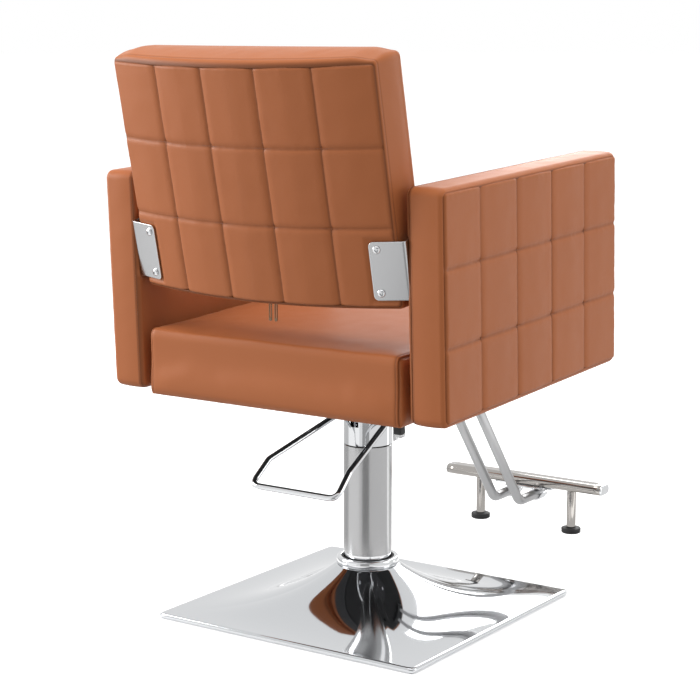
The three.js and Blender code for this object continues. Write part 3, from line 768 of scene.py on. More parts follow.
def arm_section(across, aim, at):
    """Across the strip: a seam, a soft crown, and a wide round edge to the quilt."""
    flat = 0.62
    uneven = 0.45 * wrinkle(at.x + 300, at.y + 40 * across, 26, 3.1)
    if across < flat:
        share = across / flat
        deep = LINING_SEAM - 0.3 + share * (ARM_THICK - OUTER_ROUND - LINING_SEAM)
        sunk = 1.4 * math.exp(-(((deep - LINING_SEAM) / 1.6) ** 2))
        # Painted shade in the seam's groove and along the stitch line beside it.
        shade = 0.85 * math.exp(-(((deep - LINING_SEAM) / 1.5) ** 2))
        shade = max(shade, 0.3 * math.exp(-(((deep - LINING_SEAM - 3.5) / 1.0) ** 2)))
        return deep, 1.1 * math.sin(math.pi * share) - sunk + uneven * math.sin(math.pi * share) - 0.3, shade
    turn = (across - flat) / (1 - flat) * math.radians(58 + 16 * abs(aim.y))
    deep = ARM_THICK - OUTER_ROUND + OUTER_ROUND * math.sin(turn)
    # Painted shade where the strip tucks in under the quilt's edge.
    tuck = smooth_step((across - 0.94) / 0.06)
    return deep - 1.8 * tuck, -OUTER_ROUND * (1 - math.cos(turn)) - 2.2 * tuck - 0.3, 0.9 * tuck


def beside_flange(u, w):
    """How high the inner face may stand: it is pressed flat where the back's bracket lies on it."""
    at = back_on_seat.inverted() @ (Vector((ARM_INSIDE, ARM_MID_Y + u, ARM_MID_Z + w)) * MM) / MM
    away = max(-66 - at.y, at.y + 1, 10 - at.z, at.z - 107, 0)
    return 0.5 - LINING_OUT + 0.5 * away


arm_columns = [-ARM_LONG / 2 + ARM_LONG * i / 5 for i in range(1, 5)]
arm_rows = [-ARM_TALL / 2 + ARM_TALL * i / 3 for i in range(1, 3)]
for name, side in (("right", -1), ("left", 1)):
    place = arm_place(side)
    loop = round_loop(ARM_LONG, ARM_TALL, ARM_CORNER, 4)
    band_bm = boxing(loop, 44, arm_section, place)
    face_out(band_bm, place(0, 0, ARM_THICK / 2))
    band = piece("arm_strip_" + name, band_bm, tan, "chair", 70)
    thicken(band, 2 * MM)
    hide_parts("arm_band_" + name)

    outer = quilt(
        "arm_quilt_" + name, ARM_LONG / 2 - 5.2, ARM_TALL / 2 - 6.4, 7, arm_columns, arm_rows,
        QUILT_THICK, lambda u, w, high: place(u, w, ARM_THICK + 0.6 + high), "chair", side * 2.0,
    )
    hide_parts("arm_outer_pad_" + name)

    inner = quilt(
        "arm_lining_" + name, ARM_LONG / 2 - 0.4, ARM_TALL / 2 - 0.4, ARM_CORNER, [1e4], [1e4],
        9.0, lambda u, w, high: place(u, w, 0.4 - LINING_OUT - high), "chair", side * 5.0,
        INNER_ROLL, 4, 2.0, beside_flange,
    )
    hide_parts("arm_inner_pad_" + name)

    def on_quilt(u, w, lift):
        spot = place(u, w, ARM_THICK + lift)
        return spot, (place(u, w, ARM_THICK + lift + 1) - spot).normalized()

    lanes = []
    for line in arm_columns:
        lanes.append([on_quilt(line, w, -3.6) for w in range(-170, 171, 10)])
    for line in arm_rows:
        lanes.append([on_quilt(u, line, -2.0) for u in range(-270, 271, 10)])
    stitches("arm_quilt_thread_" + name, lanes, "chair")

    edge_row = []
    for at, aim in loop + loop[:1]:
        spot = place(at.x, at.y, LINING_SEAM + 3.5)
        out = (place(at.x + aim.x, at.y + aim.y, LINING_SEAM + 3.5) - spot).normalized()
        edge_row.append((spot, out))
    stitches("arm_edge_thread_" + name, [edge_row], "chair")


# ---- The backrest ----
# A bent plywood shell padded in front and thinly behind, leaning back and curved round the
# sitter. Its rear is quilted five by three; a top-stitched strip joins it to a plain front.
BACK_HALF = 250.0
BACK_TALL = 374.0
BACK_THICK = 70.0
BACK_BULGE = 36.0
BACK_ROLL = 9.0
SEAM_INSET = 1.5
STITCH_DEEP = 6.5
QUILT_LIFT = 1.6
back_radius = (BACK_HALF ** 2 + BACK_BULGE ** 2) / (2 * BACK_BULGE)


def bulge(x):
    return math.sqrt(back_radius ** 2 - x ** 2) - (back_radius - BACK_BULGE)


def back_place(x, up, out):
    """Millimetres across, up from the middle, and out from the rear face, to a place."""
    across = max(-BACK_HALF - 6, min(BACK_HALF + 6, x))
    return back_frame @ (Vector((x, bulge(across) + out, BACK_TALL / 2 + up)) * MM)


def back_section(across, aim, at):
    """Across the strip: it rolls up from the seam, highest along the top's middle, then crowns."""
    deep = BACK_THICK / 2 * (1 - math.cos(math.pi * across))
    up, down = max(aim.y, 0) ** 2, max(-aim.y, 0) ** 2
    up *= 0.4 + 0.6 * smooth_step((BACK_HALF - abs(at.x)) / 40)
    roll = 2.0 + 9.5 * up + 3.0 * down
    rise = min(deep, BACK_THICK - deep, BACK_ROLL) / BACK_ROLL
    share = min(max((deep - BACK_ROLL) / (BACK_THICK - 2 * BACK_ROLL), 0), 1)
    crown = (2.0 + 1.5 * up) * math.sin(math.pi * share)
    groove = 0.9 * math.exp(-(((deep - STITCH_DEEP) / 1.1) ** 2)) + 1.2 * math.exp(-((deep / 1.2) ** 2))
    uneven = 0.6 * wrinkle(at.x + deep, at.y - 200, 28, 8.2) * math.sin(math.pi * share)
    # Painted shade in the seam's groove and along the top-stitching.
    shade = max(0.9 * math.exp(-((deep / 1.3) ** 2)), 0.45 * math.exp(-(((deep - STITCH_DEEP) / 1.0) ** 2)))
    return deep, roll * math.sqrt(1 - (1 - rise) ** 2) + crown + uneven - groove, shade


def behind_front(x, up, deep):
    """A place in the back's depth: the strip is deeper in the middle, as the front is flat across."""
    across = max(-BACK_HALF, min(BACK_HALF, x))
    return back_place(x, up, -deep * (BACK_THICK + bulge(across)) / BACK_THICK)


seam_half_x = BACK_HALF - SEAM_INSET
seam_half_z = BACK_TALL / 2 - 0.5
back_loop = round_loop(2 * seam_half_x, 2 * seam_half_z, 5, 4)
strip_bm = boxing(back_loop, 64, back_section, behind_front)
face_out(strip_bm, back_place(0, 0, -BACK_THICK / 2))
strip = piece("back_strip", strip_bm, tan, "chair", 70)
thicken(strip, 2 * MM)
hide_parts("back_band")

back_columns = [-BACK_HALF + 2 * BACK_HALF * i / 5 for i in range(1, 5)]
back_rows = [-BACK_TALL / 2 + BACK_TALL * i / 3 for i in range(1, 3)]


def under_bracket(x, up):
    """How high the rear panel may stand: the bracket's leaf presses a shallow dent in it."""
    away = max(208 - abs(x), BACK_TALL / 2 + up - 106, 11 - BACK_TALL / 2 - up, 0)
    return -1.9 + 0.45 * away


rear = quilt(
    "back_quilt", seam_half_x - 0.3, seam_half_z - 0.3, 5, back_columns, back_rows, 12.0,
    lambda x, up, high: back_place(x, up, high + QUILT_LIFT), "chair", 11.0, 2.2, 2.6, 0.0, under_bracket,
)
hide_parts("back_rear_panel")

front = quilt(
    "back_front_cushion", seam_half_x - 0.3, seam_half_z - 0.3, 5, [1e4], [1e4], 26.0,
    lambda x, up, high: back_frame @ (Vector((x, -BACK_THICK - high, BACK_TALL / 2 + up)) * MM),
    "chair", 13.0, 4, 4, 9.0,
)
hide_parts("back_front_pad")


def on_rear(x, up, lift):
    spot = back_place(x, up, lift)
    return spot, (back_place(x, up, lift + 1) - spot).normalized()


lanes = [[on_rear(line, up, QUILT_LIFT - 4.2) for up in range(-183, 184, 6)] for line in back_columns]
lanes += [[on_rear(x, line, QUILT_LIFT - 2.6) for x in range(-245, 246, 7)] for line in back_rows]
stitches("back_quilt_thread", lanes, "chair")
edge_row = []
stitch_share = math.acos(1 - 2 * STITCH_DEEP / BACK_THICK) / math.pi
for at, aim in back_loop + back_loop[:1]:
    deep, lift, _ = back_section(stitch_share, aim, at)
    spot = behind_front(at.x + aim.x * lift, at.y + aim.y * lift, deep)
    out = behind_front(at.x + aim.x * (lift + 1), at.y + aim.y * (lift + 1), deep - 0.3) - spot
    edge_row.append((spot, out.normalized()))
stitches("back_edge_thread", [edge_row], "chair")


# ---- The brackets between the back and the arms ----
# Folded steel plates: one leaf lies on the quilted rear face, which it presses flat, and the
# other runs forward between the back and the arm. Two domed socket screws hold each leaf.
STRAP = 3.0
BRACKET_LOW = 12.0
BRACKET_TALL = 93.0
BRACKET_INNER = 209.0
BRACKET_REACH = 60.0
BRACKET_CORNER = 8.0
FOLD_R = 3.5
PANEL_SWELL = 0.8
SCREW_R = 3.0
SCREW_HEAD_R = 6.5
SCREW_HEAD_TALL = 4.2
SCREW_INSET = 12.0
slope = math.atan(bulge(BRACKET_INNER) / (BACK_HALF - BRACKET_INNER))
fold_x = ARM_INSIDE - 0.3 - STRAP / 2
start_y = bulge(BRACKET_INNER) + PANEL_SWELL + STRAP / 2
fold_y = start_y - math.tan(slope) * (fold_x - BRACKET_INNER)


def folded_path():
    """The middle of the plate in plan: along the panel, round the fold, and forward."""
    fold = Vector((fold_x, fold_y))
    into, away = Vector((-math.cos(slope), math.sin(slope))), Vector((0, -1))
    back = FOLD_R / math.tan(into.angle(away) / 2)
    path = [Vector((BRACKET_INNER, start_y))]
    for step in range(9):
        t = step / 8
        start, end = fold + into * back, fold + away * back
        path.append(start * (1 - t) ** 2 + fold * (2 * t * (1 - t)) + end * t * t)
    path.append(fold + away * BRACKET_REACH)
    return path


def follow(path, far):
    """The spot a distance along a path of straight stretches."""
    for a, b in zip(path, path[1:]):
        length = (b - a).length
        if far <= length or b is path[-1]:
            return a + (b - a) * (far / length)
        far -= length


bracket_path = folded_path()
bracket_long = sum((b - a).length for a, b in zip(bracket_path, bracket_path[1:]))
bracket_steel = brushed("bracket_steel", (0.52, 0.522, 0.528), 0.2, (1, 1, 0.03))


def bracket_sheet(side):
    def spot(across, up):
        u, w = (across - 0.5) * bracket_long, (up - 0.5) * BRACKET_TALL
        u, w = round_corners(u, w, bracket_long / 2, BRACKET_TALL / 2, BRACKET_CORNER)
        at = follow(bracket_path, u + bracket_long / 2)
        return back_frame @ (Vector((side * at.x, at.y, BRACKET_LOW + BRACKET_TALL / 2 + w)) * MM)
    return grid(78, 60, spot)


def socket_screw(name, turn, shank):
    """A dome-headed screw with a hexagon socket, its head seated at the turn's origin."""
    profile = [(0, -shank), (SCREW_R - 0.6, -shank), (SCREW_R, -shank + 0.8), (SCREW_R, 0)]
    profile.append((SCREW_HEAD_R - 0.2, 0))
    for step in range(9):
        angle = step / 8 * math.pi / 2
        profile.append((SCREW_HEAD_R * math.cos(angle), 0.5 + (SCREW_HEAD_TALL - 0.5) * math.sin(angle)))
    profile[-1] = (0, SCREW_HEAD_TALL)
    screw_bm = spun(profile, 40)
    made = piece(name, screw_bm, chrome, "chair")
    tool_bm = bmesh.new()
    bmesh.ops.create_cone(
        tool_bm, cap_ends=True, segments=6, radius1=2.3 * MM, radius2=2.3 * MM, depth=5 * MM,
        matrix=Matrix.Translation((0, 0, (SCREW_HEAD_TALL + 0.2) * MM)),
    )
    cut_away(made, tool_bm)
    made.data.transform(turn)
    made.data.set_sharp_from_angle(angle=math.radians(35))
    return made


for name, side in (("right", -1), ("left", 1)):
    plate_bm = bracket_sheet(side)
    face_out(plate_bm)
    plate = piece("back_bracket_plate_" + name, plate_bm, bracket_steel, "chair", 40)
    wall = plate.modifiers.new("wall", "SOLIDIFY")
    wall.thickness = STRAP * MM
    wall.offset = 0
    edge = plate.modifiers.new("edge", "BEVEL")
    edge.width = 0.5 * MM
    edge.segments = 2
    edge.limit_method = "ANGLE"
    edge.angle_limit = math.radians(50)
    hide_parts("back_bracket_" + name)
    for level, high in (("lower", SCREW_INSET), ("upper", BRACKET_TALL - SCREW_INSET)):
        spot = Vector((
            side * (BRACKET_INNER + SCREW_INSET * math.cos(slope)),
            bulge(BRACKET_INNER) - SCREW_INSET * math.sin(slope),
            BRACKET_LOW + high,
        )) * MM
        face_turn = Matrix.Rotation(-side * slope, 4, "Z") @ Matrix.Rotation(-math.pi / 2, 4, "X")
        lift = Matrix.Translation((0, 0, (STRAP + PANEL_SWELL - 0.02) * MM))
        screw_turn = back_frame @ Matrix.Translation(spot) @ face_turn @ lift
        screw = socket_screw("bracket_screw_" + name + "_" + level + "_dome", screw_turn, 20)
        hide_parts("bracket_screw_" + name + "_" + level)
        at = Matrix.Translation(Vector((side * (fold_x - STRAP / 2), fold_y - 32, BRACKET_LOW + high)) * MM)
        inward = Matrix.Rotation(-side * math.pi / 2, 4, "Y")
        socket_screw("arm_screw_" + name + "_" + level, back_frame @ at @ inward, 18)


# ---- The seat ----
# A thick foam block on a plywood board. Its cover is one long panel over the rear, top and
# front, sewn and top-stitched to a panel each side, and drawn tight under the board.
SEAT_HALF = 254.0
SEAT_FRONT = -296.0
SEAT_REAR = 287.0
SEAT_TALL = 114.0
SEAT_SEAM = 245.5
SEAT_STITCH = 240.5
FOAM_CELL = 6.5
MOST_SWELL = 3.6


def soften(bm, edges, offset, segments):
    """Rounds edges by an offset in millimetres."""
    bmesh.ops.bevel(
        bm, geom=edges, affect="EDGES", offset=offset * MM, segments=segments, profile=0.5, material=-1,
    )


def foam_block(shrink):
    """The foam before its cover is filled: a block with soft edges, smaller all round."""
    bm = bmesh.new()
    bmesh.ops.create_cube(bm, size=1)
    long = SEAT_REAR - SEAT_FRONT - 2 * shrink
    tall = SEAT_TALL - shrink
    shape = Matrix.Translation((0, (SEAT_REAR + SEAT_FRONT) / 2 * MM, tall / 2 * MM))
    shape = shape @ Matrix.Diagonal((2 * (SEAT_HALF - shrink) * MM, long * MM, tall * MM, 1))
    bmesh.ops.transform(bm, matrix=shape, verts=bm.verts)
    upper = [e for e in bm.edges if all(v.co.z > 0.05 for v in e.verts)]
    upright = [e for e in bm.edges if abs(e.verts[0].co.z - e.verts[1].co.z) > 0.05]
    soften(bm, upper + upright, 9, 4)
    return bm


def fill_cover(bm, cell, most):
    """Remeshes a block, swells it as cloth under pressure with its base held, and returns it fine."""
    mesh = bpy.data.meshes.new("foam")
    bm.to_mesh(mesh)
    bm.free()
    foam = bpy.data.objects.new("foam", mesh)
    bpy.context.scene.collection.objects.link(foam)
    even = foam.modifiers.new("even", "REMESH")
    even.mode = "VOXEL"
    even.voxel_size = cell * MM
    bpy.context.view_layer.update()
    foam.data = bpy.data.meshes.new_from_object(foam.evaluated_get(bpy.context.evaluated_depsgraph_get()))
    foam.modifiers.clear()
    before = [v.co.copy() for v in foam.data.vertices]
    held = foam.vertex_groups.new(name="held")
    held.add([v.index for v in foam.data.vertices if v.co.z < 3 * MM], 1.0, "REPLACE")
    cloth = foam.modifiers.new("cover", "CLOTH")
    cloth.settings.use_pressure = True
    cloth.settings.uniform_pressure_force = 4.0
    cloth.settings.vertex_group_mass = "held"
    cloth.settings.effector_weights.gravity = 0.0
    for step in range(1, 21):
        bpy.context.scene.frame_set(step)
    swollen = foam.evaluated_get(bpy.context.evaluated_depsgraph_get())
    after = [v.co.copy() for v in swollen.data.vertices]
    foam.modifiers.clear()
    bpy.context.scene.frame_set(1)
    moves = [end - start for start, end in zip(before, after)]
    moves = [m * (min(m.length, most * MM) / m.length if m.length > 0 else 0) for m in moves]
    for _ in range(5):
        sums, counts = [m.copy() for m in moves], [1] * len(moves)
        for e in foam.data.edges:
            one, two = e.vertices
            sums[one] += moves[two]
            sums[two] += moves[one]
            counts[one] += 1
            counts[two] += 1
        moves = [total / count for total, count in zip(sums, counts)]
    for v, start, move in zip(foam.data.vertices, before, moves):
        v.co = start + move * min(max((start.z / MM - 2) / 8, 0), 1)
    finer = foam.modifiers.new("finer", "SUBSURF")
    finer.levels = finer.render_levels = 1
    bpy.context.view_layer.update()
    fine = bpy.data.meshes.new_from_object(foam.evaluated_get(bpy.context.evaluated_depsgraph_get()))
    bpy.data.objects.remove(foam)
    bm = bmesh.new()
    bm.from_mesh(fine)
    bpy.data.meshes.remove(fine)
    return bm


seat_bm = fill_cover(foam_block(2.2), FOAM_CELL, MOST_SWELL)
for v in seat_bm.verts:
    sit = max(0.0, 1 - (v.co.x / (SEAT_HALF * MM)) ** 2) * max(0.0, 1 - ((v.co.y + 0.005) / 0.292) ** 2)
    rise = min(max((v.co.z / MM - 40) / 60, 0), 1)
    v.co.z += (2.5 * sit * rise + 0.8 * rise * wrinkle(v.co.x / MM, v.co.y / MM, 60, 4.4)) * MM
    v.co.x = max(-(SEAT_HALF + 1.5) * MM, min((SEAT_HALF + 1.5) * MM, v.co.x))
    v.co.y = max((SEAT_FRONT - 2) * MM, min((SEAT_REAR + 1.5) * MM, v.co.y))
    if v.co.z < 1.0 * MM:
        v.co.z = 0.15 * MM
for side in (-1, 1):
    for step in (-3.2, -1.8, -0.9, 0.0, 0.9, 1.8, 3.2):
        for line, spread in ((SEAT_SEAM, 1), (SEAT_STITCH, 0.3)):
            bmesh.ops.bisect_plane(
                seat_bm, geom=seat_bm.verts[:] + seat_bm.edges[:] + seat_bm.faces[:], dist=1e-6,
                plane_co=(side * (line + step * spread) * MM, 0, 0), plane_no=(1, 0, 0),
            )
seat_bm.normal_update()
seat_seam_shade = seat_bm.verts.layers.float.new("seam_shade")
seat_rows = {-1: [], 1: []}
for v in seat_bm.verts:
    if v.co.z < 2 * MM:
        continue
    off = abs(abs(v.co.x / MM) - SEAT_SEAM)
    inner = abs(abs(v.co.x / MM) - SEAT_STITCH)
    pucker = 0.5 * math.exp(-off / 9) * wrinkle(v.co.y / MM, v.co.z / MM, 9, 6.1)
    sunk = 1.9 * math.exp(-((off / 1.3) ** 2)) + 0.5 * math.exp(-((inner / 1.0) ** 2)) + pucker
    # Painted shade in the side seams' grooves and along the top-stitching.
    v[seat_seam_shade] = max(0.85 * math.exp(-((off / 1.3) ** 2)), 0.35 * math.exp(-((inner / 0.9) ** 2)))
    if inner < 0.02 and v.co.z > 5 * MM:
        side = 1 if v.co.x > 0 else -1
        angle = math.atan2(v.co.z - 0.03, v.co.y + 0.005)
        seat_rows[side].append((angle, v.co - v.normal * 0.3 * MM, v.normal.copy()))
    v.co -= v.normal * sunk * MM
thread_rows = []
for side in (-1, 1):
    row = [(spot, out) for _, spot, out in sorted(seat_rows[side], key=lambda entry: entry[0])]
    thread_rows.append([(seat_frame @ spot, seat_frame.to_3x3() @ out) for spot, out in row])
bmesh.ops.transform(seat_bm, matrix=seat_frame, verts=seat_bm.verts)
seat = piece("seat_cushion_cover", seat_bm, tan, "chair", 70)
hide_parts("seat_cushion")
stitches("seat_edge_thread", thread_rows, "chair")


# ---- The cloth under the seat ----
# Thin black non-woven cloth stapled over the underside, inside the turned-in edge of the
# cover, so that nothing inside is seen from below.
CLOTH_HALF = 238.0
CLOTH_FRONT = -280.0
CLOTH_REAR = 271.0
STAPLE_GAP = 34.0

dust, dust_shader = principled("black_dust_cloth", 0.0, 0.9, (0.016, 0.016, 0.017))
roughen(dust.node_tree, dust_shader, noise_node(dust.node_tree, 900, 4), 0.1 * MM)
dust.node_tree.links.new(
    ranged(dust.node_tree, noise_node(dust.node_tree, 40), 0.8, 0.98), dust_shader.inputs["Roughness"],
)
cloth_long = CLOTH_REAR - CLOTH_FRONT
cloth_mid = (CLOTH_REAR + CLOTH_FRONT) / 2


def on_underside(across, along):
    u, w = round_corners(
        (across - 0.5) * 2 * CLOTH_HALF, (along - 0.5) * cloth_long, CLOTH_HALF, cloth_long / 2, 12,
    )
    return seat_frame @ (Vector((u, cloth_mid + w, -0.08 + 0.04 * wrinkle(u, w, 30, 9.9))) * MM)


cloth_bm = grid(40, 46, on_underside)
bmesh.ops.reverse_faces(cloth_bm, faces=cloth_bm.faces)
under = piece("seat_dust_cloth", cloth_bm, dust, "chair", 60)
thicken(under, 0.12 * MM)

steel_wire = plated("staple_wire", (0.55, 0.55, 0.56), 0.2)
staple_bm = bmesh.new()
staple_spots = [(x, CLOTH_FRONT + 5, 0) for x in range(-224, 225, int(STAPLE_GAP))]
staple_spots += [(x, CLOTH_REAR - 5, 0) for x in range(-224, 225, int(STAPLE_GAP))]
for side in (-1, 1):
    staple_spots += [(side * (CLOTH_HALF - 5), y, 1) for y in range(-262, 260, int(STAPLE_GAP))]
for x, y, turned in staple_spots:
    across, along = (1.2, 10.0) if turned else (10.0, 1.2)
    add_block(staple_bm, seat_frame @ Matrix.Translation(Vector((x, y, -0.35)) * MM), across, along, 0.5)
piece("dust_cloth_staples", staple_bm, steel_wire, "chair")


# ---- The mounting under the seat ----
# Pressed and welded steel, phosphated dark: the mounting plate with its collar, the straps
# that carry the arms, the channel for the footrest, and the plate of the base.
def dark_steel_paint():
    material, shader = principled("phosphated_steel", 0.6, 0.45, (0.035, 0.035, 0.037))
    tree = material.node_tree
    tree.links.new(ranged(tree, noise_node(tree, 22, 5), 0.36, 0.58), shader.inputs["Roughness"])
    roughen(tree, shader, noise_node(tree, 500, 3), 0.05 * MM)
    return material


def dress(material, *names):
    """Gives CAD nodes a finish."""
    for name in names:
        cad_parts[name].material_slots[0].material = material


dark_steel = dark_steel_paint()
zinc = plated("zinc_plate", (0.60, 0.60, 0.62), 0.22)
oiled_bronze = brushed("oiled_bronze", (0.50, 0.34, 0.17), 0.35, (1, 1, 0.1))
dress(dark_steel, "base_plate", "seat_mount_plate", "arm_rail_right", "arm_rail_left", "footrest_channel")
dress(zinc, "lift_piston", "thrust_bearing", "pump_plunger")
dress(oiled_bronze, "guide_bush")


def hex_bolt(name, middle, head_low, head_tall, flats, shank_r, shank_low, turn, body):
    """A bolt with a chamfered hexagon head, replacing the CAD node of its name."""
    bm = bmesh.new()
    head = bmesh.ops.create_cone(
        bm, cap_ends=True, segments=6, radius1=flats * MM, radius2=flats * MM, depth=head_tall * MM,
        matrix=Matrix.Translation((0, 0, (head_low + head_tall / 2) * MM)),
    )["verts"]
    rims = [e for e in bm.edges if all(v in head for v in e.verts)]
    soften(bm, rims, 0.5, 2)
    low, high = sorted((shank_low, head_low + head_tall / 2))
    add_turned(bm, [(0, low), (shank_r, low), (shank_r, high), (0, high)], Matrix.Identity(4), 20)
    bm.transform(turn @ Matrix.Translation((middle[0] * MM, middle[1] * MM, 0)))
    made = piece(name + "_hex", bm, zinc, body)
    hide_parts(name)


bolt_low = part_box("base_bolt_1")[0].z / MM
bolt_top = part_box("base_bolt_1")[1].z / MM
for number in range(4):
    lowest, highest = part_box("base_bolt_%d" % (number + 1))
    spot = (lowest + highest) / 2 / MM
    hex_bolt(
        "base_bolt_%d" % (number + 1), (spot.x, spot.y), bolt_top - 6, 6, 8.5, 5, bolt_low,
        Matrix.Identity(4), "base",
    )
for number, (i, j) in enumerate(((-1, -1), (1, -1), (-1, 1), (1, 1))):
    hex_bolt("mount_bolt_%d" % (number + 1), (i * 65, j * 65), -10.6, 5, 7, 4, 9, seat_frame, "chair")


def ply(name, light, dark):
    """Birch plywood: long pale grain with darker streaks."""
    material, shader = principled(name, 0.0, 0.6, light)
    tree = material.node_tree
    grain = noise_node(tree, 30, 6, (1, 0.08, 1))
    mix = tree.nodes.new("ShaderNodeMix")
    mix.data_type = "RGBA"
    mix.inputs["A"].default_value = (*dark, 1)
    mix.inputs["B"].default_value = (*light, 1)
    tree.links.new(grain, mix.inputs["Factor"])
    tree.links.new(mix.outputs["Result"], shader.inputs["Base Color"])
    tree.links.new(ranged(tree, grain, 0.5, 0.75), shader.inputs["Roughness"])
    return material


birch = ply("birch_ply", (0.56, 0.40, 0.23), (0.40, 0.26, 0.13))
dress(birch, "seat_board", "arm_board_right", "arm_board_left", "back_shell")

# A moulded stop on the right-hand strap's rear end, with its thin steel tab.
STOP_X = -214.0
STOP_Y = 232.0
stop_bm = bmesh.new()
add_block(stop_bm, seat_frame @ Matrix.Translation(Vector((STOP_X, STOP_Y, -13.6)) * MM), 13, 14, 19.4)
soften(stop_bm, stop_bm.edges, 1.0, 3)
piece("rail_stop_block", stop_bm, rubber, "chair")
tab_bm = bmesh.new()
for x, wide, low, high in ((STOP_X, 13, -28.5, -23.4), (STOP_X + 8, 1.6, -35, -3.7)):
    tab_at = seat_frame @ Matrix.Translation(Vector((x, STOP_Y, (low + high) / 2)) * MM)
    add_block(tab_bm, tab_at, wide, 12, high - low)
soften(tab_bm, tab_bm.edges, 0.4, 2)
piece("rail_stop_tab", tab_bm, satin, "chair")


# ---- The footrest ----
# Two bent steel tubes run down from the channel and under a flat oval tube, held to it by a
# plated clamp. The oval tube stands on two legs with adjustable rubber feet.
FOOT_TUBE_R = 9.5
FOOT_TUBE_X = 28.0
FOOT_BEND_R = 24.0
FOOT_Y = -564.0
FOOT_BAR_Z = 118.0
FOOT_BAR_LONG = 344.0
FOOT_BAR_DEEP = 38.0
FOOT_BAR_TALL = 20.0
FOOT_BAR_WALL = 1.5
LEG_X = 102.5
LEG_R = 9.0
LEG_LOW = 35.0
bar_low = FOOT_BAR_Z - FOOT_BAR_TALL / 2
tube_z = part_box("footrest_tube_right")[0].z / MM + FOOT_TUBE_R
foot_turns = [(-244, 411), (-487, tube_z), (FOOT_Y - 22, tube_z)]
foot_satin = brushed("satin_tube", (0.40, 0.40, 0.405), 0.3, (1, 0.02, 0.02))
polished = plated("polished_stainless", (0.40, 0.38, 0.36), 0.07, 0.15 * MM)


def oval(share, deep, tall):
    """A spot on a flat oval outline, from a share of the way round."""
    radius = tall / 2
    flat = deep - tall
    round_long = math.pi * radius
    far = share * (2 * flat + 2 * round_long)
    if far < flat:
        return Vector((-flat / 2 + far, -radius))
    far -= flat
    if far < round_long:
        angle = -math.pi / 2 + far / radius
        return Vector((flat / 2, 0)) + radius * Vector((math.cos(angle), math.sin(angle)))
    far -= round_long
    if far < flat:
        return Vector((flat / 2 - far, radius))
    angle = math.pi / 2 + (far - flat) / radius
    return Vector((-flat / 2, 0)) + radius * Vector((math.cos(angle), math.sin(angle)))


def on_bar(around, along):
    at = oval(around % 1.0, FOOT_BAR_DEEP, FOOT_BAR_TALL)
    return Vector(((along - 0.5) * FOOT_BAR_LONG, FOOT_Y + at.x, FOOT_BAR_Z + at.y)) * MM


bar_bm = grid(96, 24, on_bar)
face_out(bar_bm, (0, FOOT_Y * MM, FOOT_BAR_Z * MM))
bar = piece("foot_bar_tube", bar_bm, polished, "chair", 60)
thicken(bar, FOOT_BAR_WALL * MM)
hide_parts("foot_bar")


def bar_cap(name, side):
    """A pressed cap on the end of the oval tube, with a rounded rim."""
    rings = [(0.0, 0.0), (0.25, 0.9), (0.8, 1.7), (1.6, 2.4), (2.6, 2.8), (4.0, 2.95)]

    def spot(around, out):
        index = round(out * (len(rings) + 1))
        if index == 0:
            inset, far = 4.0, 0.0
        elif index <= len(rings):
            inset, far = rings[index - 1]
        else:
            inset, far = 9.99, 3.0
        at = oval(around % 1.0, FOOT_BAR_DEEP - 2 * inset, FOOT_BAR_TALL - 2 * inset)
        across = side * (FOOT_BAR_LONG / 2 + 0.05 + far)
        return Vector((across, FOOT_Y + at.x, FOOT_BAR_Z + at.y)) * MM

    bm = grid(72, len(rings) + 1, spot)
    bmesh.ops.remove_doubles(bm, verts=bm.verts, dist=2e-6)
    bmesh.ops.holes_fill(bm, edges=[e for e in bm.edges if e.is_boundary], sides=0)
    face_out(bm, (side * FOOT_BAR_LONG / 2 * MM, FOOT_Y * MM, FOOT_BAR_Z * MM))
    made = piece("foot_bar_end_" + name, bm, chrome, "chair", 40)
    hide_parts("foot_bar_cap_" + name)


for name, side in (("right", -1), ("left", 1)):
    bar_cap(name, side)
    run = [Vector((side * FOOT_TUBE_X, y, z)) * MM for y, z in foot_turns]
    tube_bm = bent_rod("footrest_run", run, FOOT_TUBE_R * MM, FOOT_BEND_R * MM, 9)
    run_tube = piece("footrest_tube_bent_" + name, tube_bm, foot_satin, "chair", 40)
    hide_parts("footrest_tube_" + name)

    leg_place = Matrix.Translation((side * LEG_X * MM, FOOT_Y * MM, 0))
    leg_top = bar_low - 0.1
    leg_profile = [(4.3, LEG_LOW), (8.5, LEG_LOW), (LEG_R, LEG_LOW + 0.5), (LEG_R, leg_top), (4.3, leg_top)]
    leg_bm = spun(leg_profile, 48)
    weld = [(LEG_R, leg_top - 2.2), (10.4, leg_top - 1), (11, leg_top), (LEG_R, leg_top)]
    add_turned(leg_bm, weld, Matrix.Identity(4), 48)
    leg_bm.transform(leg_place)
    leg = piece("foot_leg_tube_" + name, leg_bm, polished, "chair")
    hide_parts("foot_leg_" + name)

    pad_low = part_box("foot_pad_" + name)[0].z / MM
    pad_profile = [(0, pad_low), (16.5, pad_low), (17.6, pad_low + 0.5), (19, pad_low + 1.8)]
    pad_profile += [(19, pad_low + 4.2), (18.2, pad_low + 4.7), (18.2, pad_low + 5.4)]
    pad_profile += [(19, pad_low + 5.9), (19, pad_low + 8.6)]
    pad_profile += [(18.4, pad_low + 10.1), (16.9, pad_low + 10.9), (6.5, pad_low + 11), (0, pad_low + 11)]
    pad_bm = spun(pad_profile, 64)
    pad_bm.transform(leg_place)
    pad = piece("foot_pad_rubber_" + name, pad_bm, rubber, "foot_pad_" + name)
    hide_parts("foot_pad_" + name)
    stem_profile = [(0, pad_low + 10.8), (7, pad_low + 10.8), (7, pad_low + 11.6), (3.4, pad_low + 11.7)]
    for turn_number in range(18):
        level = pad_low + 12.2 + turn_number * 1.25
        stem_profile += [(3.4, level), (4.0, level + 0.5)]
    stem_profile += [(3.2, pad_low + 35), (0, pad_low + 35)]
    stem_bm = spun(stem_profile, 24)
    stem_bm.transform(leg_place)
    piece("foot_pad_stem_" + name, stem_bm, zinc, "foot_pad_" + name, 30)

